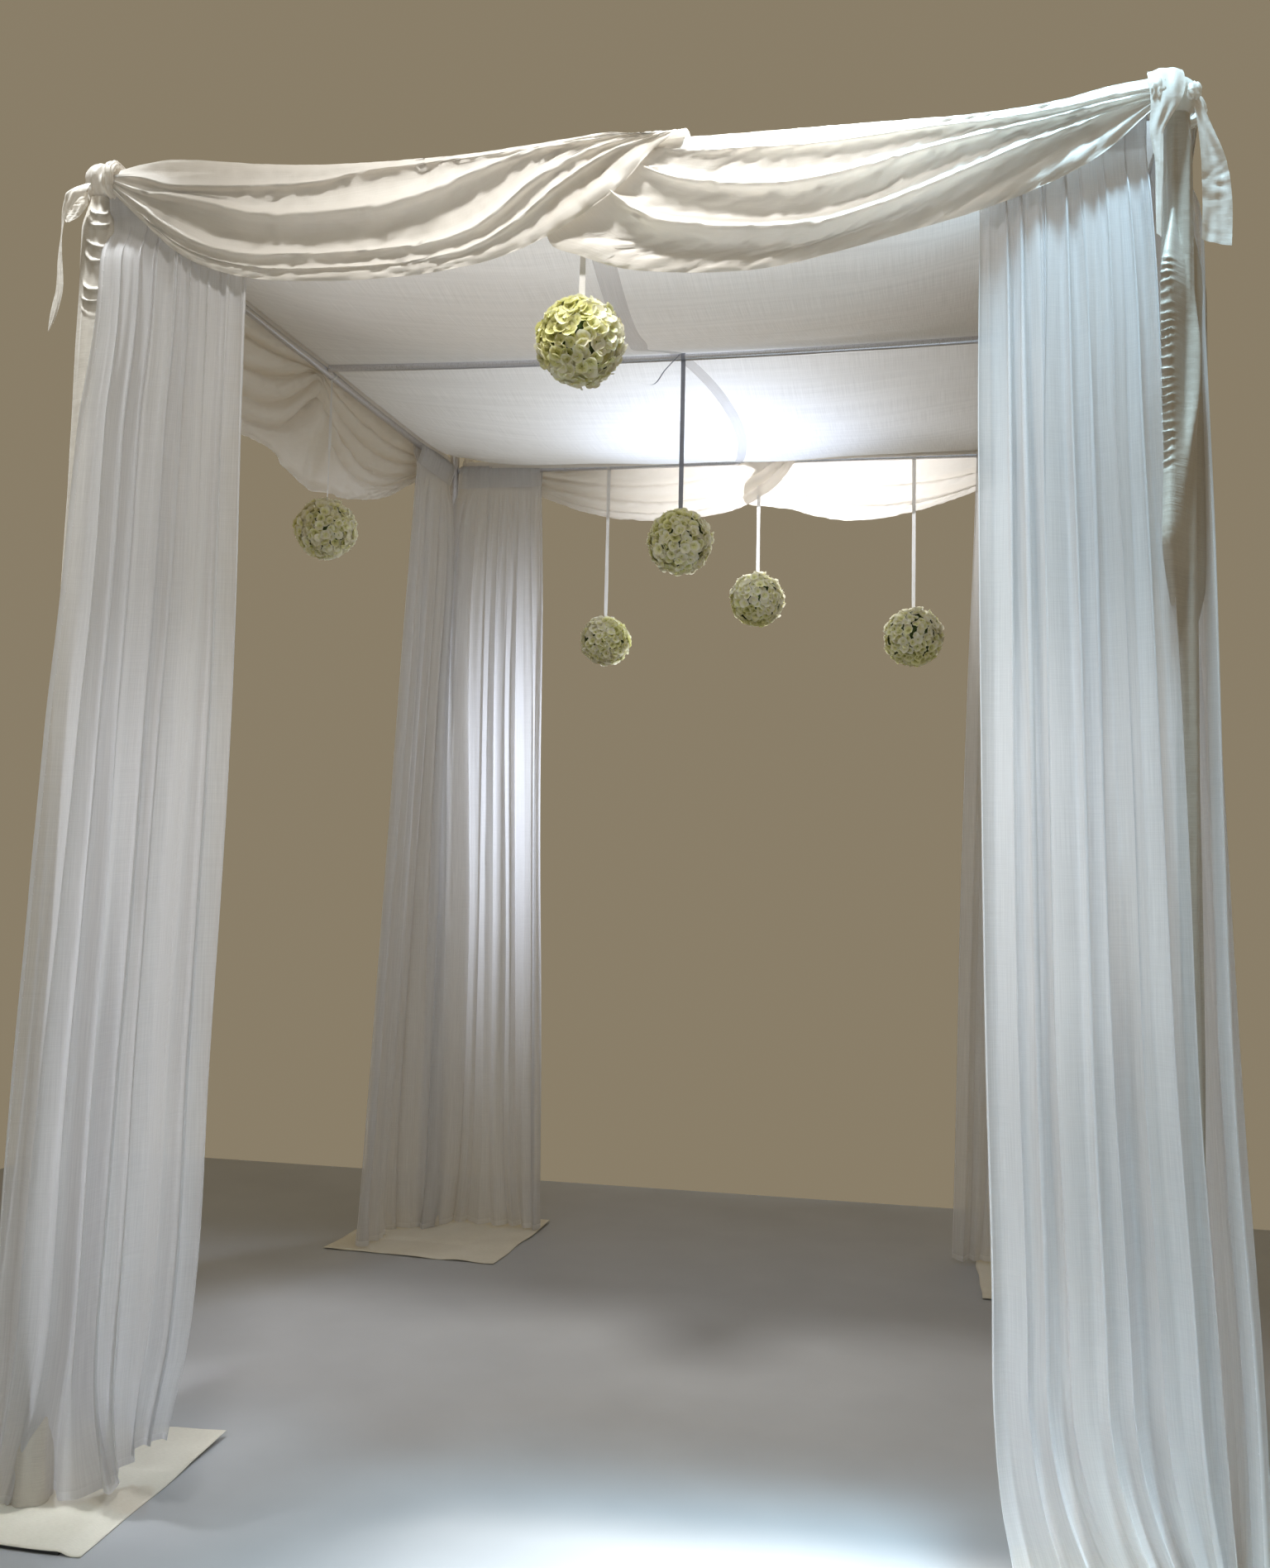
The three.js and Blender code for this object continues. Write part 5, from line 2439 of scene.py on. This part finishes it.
@dataclass
class Studio:
    """Camera, floor and lights.

    Args:
        focal: the camera's focal length in pixels of the image.
        image: the image's width and height in pixels.
        centre_row: the row where the camera's axis meets the image.
        eye: the camera's place.
        yaw: its turn to the right, in degrees.
        pitch: its tilt upwards.
        roll: its turn about its own axis.
        floor_box: the floor's lowest and highest X and Y.
        room: colour of the room's light.
        lamps: the lamps.
    """

    focal: float = 1820.0
    image: tuple[int, int] = (1536, 1896)
    centre_row: float = 870.0
    eye: Place = (0.778, -4.422, 1.449)
    yaw: float = -12.07
    pitch: float = 5.24
    roll: float = 1.24
    floor_box: tuple[tuple[float, float], tuple[float, float]] = ((-3.4, -2.6), (3.4, 2.25))
    room: Colour = (0.254, 0.210, 0.140)
    lamps: tuple[Lamp, ...] = (
        Lamp("front_high", (0.95, -1.80, 5.2), (0.95, -1.80, 0), 0.30, 40, 21, (0.55, 0.82, 1.0)),
        Lamp("front_middle_high", (0.55, -2.0, 5.2), (0.55, -2.0, 0), 0.30, 60, 8, (0.50, 0.80, 1.0)),
        Lamp("front_left_high", (-1.35, -1.80, 5.2), (-1.30, -1.42, 2.85), 0.30, 15, 1.6, (0.94, 0.98, 1.0)),
        Lamp("front_floor", (-0.6, -3.7, 4.6), (-0.6, -3.6, 0), 0.60, 52, 22, (0.76, 0.91, 1.0)),
        Lamp("right_swag", (0.5, -1.60, 5.2), (0.5, -1.60, 0), 0.20, 24, 10, (1.0, 0.98, 0.94)),
        Lamp("front_swags", (-0.1, -2.9, 5.2), (-0.1, -1.42, 2.86), 0.40, 46, 9, (1.0, 0.98, 0.95)),
        Lamp("front_fill", (-1.0, -6.5, 3.0), (0, 0, 1.5), 3.5, 180, 20, (0.50, 0.76, 1.0)),
        Lamp("over_rear", (0.0, 0.60, 5.4), (0.0, 0.60, 0), 0.35, 28, 5, (0.65, 0.77, 1.0)),
        Lamp("over_rear_soft", (-0.22, 0.58, 5.4), (-0.22, 0.58, 0), 0.35, 54, 7.5, (0.85, 0.93, 1.0)),
        Lamp("rear_left_spot", (0.5, 3.2, 2.6), (-0.72, 1.3, 1.75), 0.80, 42, 13, (0.80, 0.87, 1.0)),
        Lamp("rear_swags", (0.2, 3.4, 3.5), (0.2, 1.3, 2.86), 0.30, 46, 14, (0.95, 0.97, 1.0)),
    )

    def camera(self) -> None:
        """Places the camera at the photograph's angle."""
        yaw, pitch, roll = (math.radians(a) for a in (self.yaw, self.pitch, self.roll))
        flat = math.cos(pitch)
        ahead = Vector((math.sin(yaw) * flat, math.cos(yaw) * flat, math.sin(pitch)))
        level_right = Vector((math.cos(yaw), -math.sin(yaw), 0))
        level_up = level_right.cross(ahead)
        right = math.cos(roll) * level_right + math.sin(roll) * level_up
        up = -math.sin(roll) * level_right + math.cos(roll) * level_up
        data = bpy.data.cameras.new("camera")
        data.sensor_width = 36.0
        data.lens = self.focal * data.sensor_width / self.image[1]
        data.shift_y = (self.centre_row - self.image[1] / 2) / self.image[1]
        data.clip_end = 100
        camera = bpy.data.objects.new("camera", data)
        bpy.context.scene.collection.objects.link(camera)
        rotation = Matrix((right, up, -ahead)).transposed().to_4x4()
        camera.matrix_world = Matrix.Translation(self.eye) @ rotation
        bpy.context.scene.camera = camera

    def floor(self) -> None:
        """A plain pale floor."""
        low, high = self.floor_box
        bm = bmesh.new()
        bmesh.ops.create_grid(bm, x_segments=1, y_segments=1, size=0.5)
        bmesh.ops.scale(bm, vec=(high[0] - low[0], high[1] - low[1], 1), verts=bm.verts)
        middle = ((low[0] + high[0]) / 2, (low[1] + high[1]) / 2, -0.0002)
        bmesh.ops.translate(bm, vec=middle, verts=bm.verts)
        r = Recipe("floor")
        cloud = r.noise(r.object_place((1, 1, 1)), 3.0, 3)
        colour = r.ramp(cloud, (0.3, (0.43, 0.44, 0.46)), (0.7, (0.47, 0.48, 0.50)))
        from_bmesh("floor", bm, r.done(r.surface(colour, 0.6)))

    def lights(self) -> None:
        """Round soft lamps above and in front of the canopy, in a plain warm room."""
        world = bpy.data.worlds.new("studio")
        world.use_nodes = True
        world.node_tree.nodes["Background"].inputs["Color"].default_value = (*self.room, 1)
        bpy.context.scene.world = world
        for lamp in self.lamps:
            data = bpy.data.lights.new(lamp.name, "AREA")
            data.shape = "DISK"
            data.size = lamp.size
            data.energy = lamp.power
            data.color = lamp.colour
            data.spread = math.radians(lamp.spread)
            piece = bpy.data.objects.new(lamp.name, data)
            piece.location = lamp.place
            toward = Vector(lamp.aim) - Vector(lamp.place)
            piece.rotation_euler = toward.to_track_quat("-Z", "Y").to_euler()
            bpy.context.scene.collection.objects.link(piece)

    def build(self) -> None:
        """Sets up the studio."""
        bpy.context.scene.view_settings.view_transform = "Standard"
        self.camera()
        self.floor()
        self.lights()


# Assembly


REAR_FACING = Edges(
    near=((0, -0.02), (1, -0.01), (2.78, 0.0), (2.9, 0.012), (3, 0.028)),
    far=((0, 0.440), (0.92, 0.420), (1.89, 0.395), (2.55, 0.380), (3, 0.368)),
    out_near=((0, 0.085), (1, 0.058), (2, 0.034), (2.7, 0.020), (3, 0.004)),
    out_far=((0, 0.055), (1, 0.038), (2, 0.022), (3, 0.002)),
    curl=((0, -0.133), (1, -0.106), (2, -0.082), (2.7, -0.068), (2.85, -0.05), (3, 0)),
)
REAR_FLANK = Edges(
    near=((0, 0.030), (1, 0.040), (2.78, 0.045), (3, 0.055)),
    far=((0, 0.405), (1, 0.415), (3, 0.430)),
    out_near=((0, 0.100), (1, 0.070), (2, 0.045), (3, 0.004)),
    out_far=((0, 0.135), (0.93, 0.092), (1.85, 0.046), (3, 0)),
    curl=((0, -0.10), (1, -0.072), (2, -0.048), (2.8, -0.03), (3, 0)),
)
FACING = {
    Corner.FRONT_LEFT: Edges(
        near=((0, -0.03), (0.76, -0.04), (1.03, -0.031), (1.21, -0.0215), (1.39, -0.014), (1.57, -0.006),
              (1.76, 0.001), (1.94, 0.0115), (2.12, 0.019), (2.30, 0.023), (2.48, 0.032), (2.53, 0.038),
              (2.67, 0.048), (2.77, 0.047), (2.84, 0.042), (2.91, 0.036), (3, 0.036)),
        far=((0, 0.250), (0.13, 0.272), (0.27, 0.345), (0.38, 0.390), (0.5, 0.414), (1, 0.420), (1.5, 0.420),
             (2.06, 0.412), (2.5, 0.398), (2.76, 0.390), (3, 0.388)),
        out_near=((0, 0.10), (0.5, 0.080), (2.2, 0.062), (2.62, 0.056), (2.85, 0.04), (3, 0.004)),
        out_far=((0, -0.16), (0.13, -0.13), (0.27, -0.03), (0.38, 0.020), (0.5, 0.045), (1, 0.045),
                 (2, 0.025), (3, 0.002)),
        splay=((0, 0), (0.18, -0.06), (0.27, -0.05), (0.36, 0), (0.46, 0.07), (0.62, 0.05), (0.8, 0),
               (1, 0)),
        valleys=((0.31, 1.9, 0.030), (0.45, 1.5, 0.045), (0.62, 0.9, 0.014)),
        hem_lift=0.11,
    ),
    Corner.FRONT_RIGHT: Edges(
        near=((0, -0.07), (0.44, -0.05), (1.05, -0.012), (1.53, 0.004), (2.03, 0.024), (2.15, 0.030),
              (2.35, 0.040), (2.6, 0.046), (2.75, 0.052), (2.86, 0.058), (3, 0.062)),
        far=((0, 0.322), (0.13, 0.340), (0.22, 0.357), (0.40, 0.372), (0.64, 0.375), (1.03, 0.385),
             (2.3, 0.394), (3, 0.394)),
        out_near=((0, 0.10), (1, 0.07), (2, 0.05), (2.7, 0.04), (3, 0.004)),
        out_far=((0, 0.055), (1, 0.038), (2, 0.022), (3, 0.002)),
        splay=((0, -0.01), (0.3, -0.10), (0.6, -0.12), (0.85, -0.06), (1, 0)),
        valleys=((0.33, 1.5, 0.030), (0.66, 1.1, 0.016)),
    ),
    Corner.REAR_LEFT: REAR_FACING,
    Corner.REAR_RIGHT: REAR_FACING,
}
FLANK = {
    Corner.FRONT_LEFT: Edges(
        near=((0, -0.02), (1, 0.0), (2.4, 0.02), (2.8, 0.04), (3, 0.06)),
        far=((0, 0.405), (1, 0.415), (3, 0.430)),
        out_near=((0, 0.085), (0.5, 0.072), (0.77, 0.060), (1.5, 0.043), (2.1, 0.033), (2.6, 0.026),
                  (3, 0.004)),
        out_far=((0, 0.120), (0.93, 0.075), (1.85, 0.036), (3, 0)),
    ),
    Corner.FRONT_RIGHT: Edges(
        near=((0, -0.07), (0.5, -0.06), (0.9, -0.045), (1.5, -0.02), (2.1, 0.0), (2.6, 0.02), (3, 0.055)),
        far=((0, 0.405), (1, 0.415), (3, 0.430)),
        out_near=((0, 0.150), (0.52, 0.131), (0.9, 0.107), (1.53, 0.086), (2.02, 0.070), (2.53, 0.050),
                  (2.8, 0.045), (3, 0.004)),
        out_far=((0, 0.135), (0.93, 0.092), (1.85, 0.046), (3, 0)),
        curl=((0, -0.03), (1.5, -0.022), (2.2, -0.01), (3, 0)),
    ),
    Corner.REAR_LEFT: REAR_FLANK,
    Corner.REAR_RIGHT: REAR_FLANK,
}
MIDDLE_RIBBON_END = ((-48, -13, 2986), (-93, -14, 2939), (-131, -14, 2894), (-168, -12, 2900))


def drapes(shop: Workshop) -> list[Drape]:
    """The eight drapes, two beside each pole.

    Args:
        shop: the workshop.

    Returns:
        The drapes.
    """
    made = []
    for corner in Corner:
        facing, flank = corner.sides
        for side, label, edges in ((facing, facing.value, FACING[corner]), (flank, "side", FLANK[corner])):
            seed = 200 + 37 * len(made)
            made.append(Drape(f"{corner.label}_{label}", corner, side, shop, edges, seed))
    return made


def ties(shop: Workshop) -> list[CornerTie]:
    """The four corner ties with their hanging ends.

    Args:
        shop: the workshop.

    Returns:
        The ties.
    """
    bow = Tail(
        route=((-4, -50, 3004), (-15, -60, 2992), (-26, -65, 2976), (-39, -65, 2960), (-53, -63, 2936),
               (-58, -62, 2916), (-60, -62, 2886), (-61, -62, 2845), (-60, -62, 2805), (-58, -62, 2775),
               (-58, -62, 2740), (-65, -62, 2706), (-72, -62, 2676), (-80, -62, 2646)),
        widths=(12, 32, 48, 33, 18, 9, 6.5, 11, 14, 16, 19, 20, 15, 2),
        turns=(180, 184, 186, 186, 184, 180, 150, 160, 175, 180, 180, 180, 180, 180),
        cut=0,
        crumple=0.4,
    )
    bow_back = Tail(
        route=((-10, -46, 3000), (-21, -50, 2988), (-23, -52, 2973), (-26, -53, 2956), (-32, -54, 2938),
               (-43, -55, 2921), (-50, -56, 2911)),
        widths=(10, 22, 38, 46, 46, 34, 10),
        turns=(0, 0, 0, 0, 0, 0, 0),
        cut=0,
        crumple=0.8,
    )
    hood = Tail(
        route=((-28, -12, 3078), (-27, -34, 3070), (-24.5, -47, 3042), (-25.5, -53, 3011),
               (-31.5, -56, 2982), (-40, -57, 2957), (-46, -58, 2936), (-45.5, -60, 2900),
               (-44, -62, 2877), (-44.5, -64, 2800), (-45.5, -66, 2750), (-45.5, -66, 2706)),
        widths=(40, 66, 71, 65, 53, 40, 29, 21, 17, 14, 12, 10),
        turns=(180, 180, 180, 178, 176, 174, 172, 172, 175, 180, 180, 180),
        cut=-8,
        crumple=0.5,
    )
    wide = Tail(
        route=((26, -46, 3012), (44, -52, 2945), (62, -52, 2860), (68, -50, 2780), (66, -48, 2705)),
        widths=(12, 26, 48, 56, 56),
        turns=(10, 5, 0, -4, -8),
        cut=20,
        crumple=0.8,
    )
    rear_left = Tail(
        route=((-60, 70, 3000), (-66, 80, 2940), (-70, 82, 2860), (-70, 78, 2725)),
        widths=(18, 30, 44, 50),
        turns=(180, 176, 180, 188),
    )
    rear_right = Tail(
        route=((60, 70, 3000), (66, 80, 2940), (70, 82, 2850), (70, 78, 2695)),
        widths=(18, 30, 46, 50),
        turns=(0, 4, 0, -8),
    )
    pinch = (0.027, -0.048, 3.014)
    return [
        CornerTie(Corner.FRONT_LEFT, shop, {"bow": bow, "bow_back": bow_back}, seed=71),
        CornerTie(
            Corner.FRONT_RIGHT, shop, {"wide": wide, "hood": hood}, wraps=4, pinch_at=pinch, seed=83
        ),
        CornerTie(Corner.REAR_LEFT, shop, {"wide": rear_left}, outside=0.040, seed=91),
        CornerTie(Corner.REAR_RIGHT, shop, {"wide": rear_right}, outside=0.040, seed=97),
    ]


def main() -> None:
    """Builds the canopy piece by piece."""
    logging.basicConfig(level=logging.INFO, format="%(message)s", stream=sys.stdout)
    Studio().build()
    shop = Workshop(Wardrobe.sewn())
    PipeFrame(shop).build()
    foot_cloths = (
        FootCloth(Corner.FRONT_LEFT, shop, (-0.085, 0.120), 1.0, (1, 1, 0.014), seed=3),
        FootCloth(Corner.FRONT_RIGHT, shop, (0.0, 0.0), -1.5, (1, -1, 0.006), seed=4),
        FootCloth(Corner.REAR_LEFT, shop, (0.085, -0.100), -3.0, (1, 1, 0.006), seed=6),
        FootCloth(Corner.REAR_RIGHT, shop, (-0.03, -0.05), 2.0, (-1, 1, 0.006), seed=8),
    )
    for cloth in foot_cloths:
        cloth.build()
    sleeves = (
        Sleeve(Corner.FRONT_LEFT, shop, pucker=0.010, facing=-66, width=44, band=(2.97, 2.72), seed=15),
        Sleeve(
            Corner.FRONT_RIGHT,
            shop,
            pucker=0.006,
            facing=-118,
            band=(2.66, 2.26),
            spacing=0.019,
            width=13,
            radius=0.030,
            tent=((-0.026, -0.020), (-0.048, -0.072), (-0.030, -0.084), (0.062, 0.036), (0.020, 0.045)),
            sweep=((2.00, -122), (2.10, -108), (2.26, -82), (2.40, -48), (2.62, -30)),
            # Painted shade: this sleeve gets the darker satin for the shade between its drapes.
            dull=True,
            seed=25,
        ),
        Sleeve(Corner.REAR_LEFT, shop, top=2.78, radius=0.034, facing=120, rows=150, seed=35),
        Sleeve(Corner.REAR_RIGHT, shop, top=2.78, radius=0.034, facing=60, rows=150, seed=45),
    )
    for sleeve in sleeves:
        sleeve.build()
    for drape in drapes(shop):
        drape.build()
    Ceiling(shop).build()
    for swag in (*front_swags(), *rear_swags(), side_swag(Side.LEFT, 61), side_swag(Side.RIGHT, 67)):
        swag.build(shop)
    for tie in ties(shop):
        tie.build()
    for number, name in enumerate(("front", "left", "middle", "rear_left", "rear_middle", "rear_right")):
        # The middle ball's ribbon gets the darker satin that paints its shade.
        middle = name == "middle"
        end = MIDDLE_RIBBON_END if middle else ()
        FlowerBall(name, shop, seed=101 + 11 * number, grey=middle, loose_end=end).build()
    LOG.info("%d pieces", shop.count)


if __name__ == "__main__":
    main()
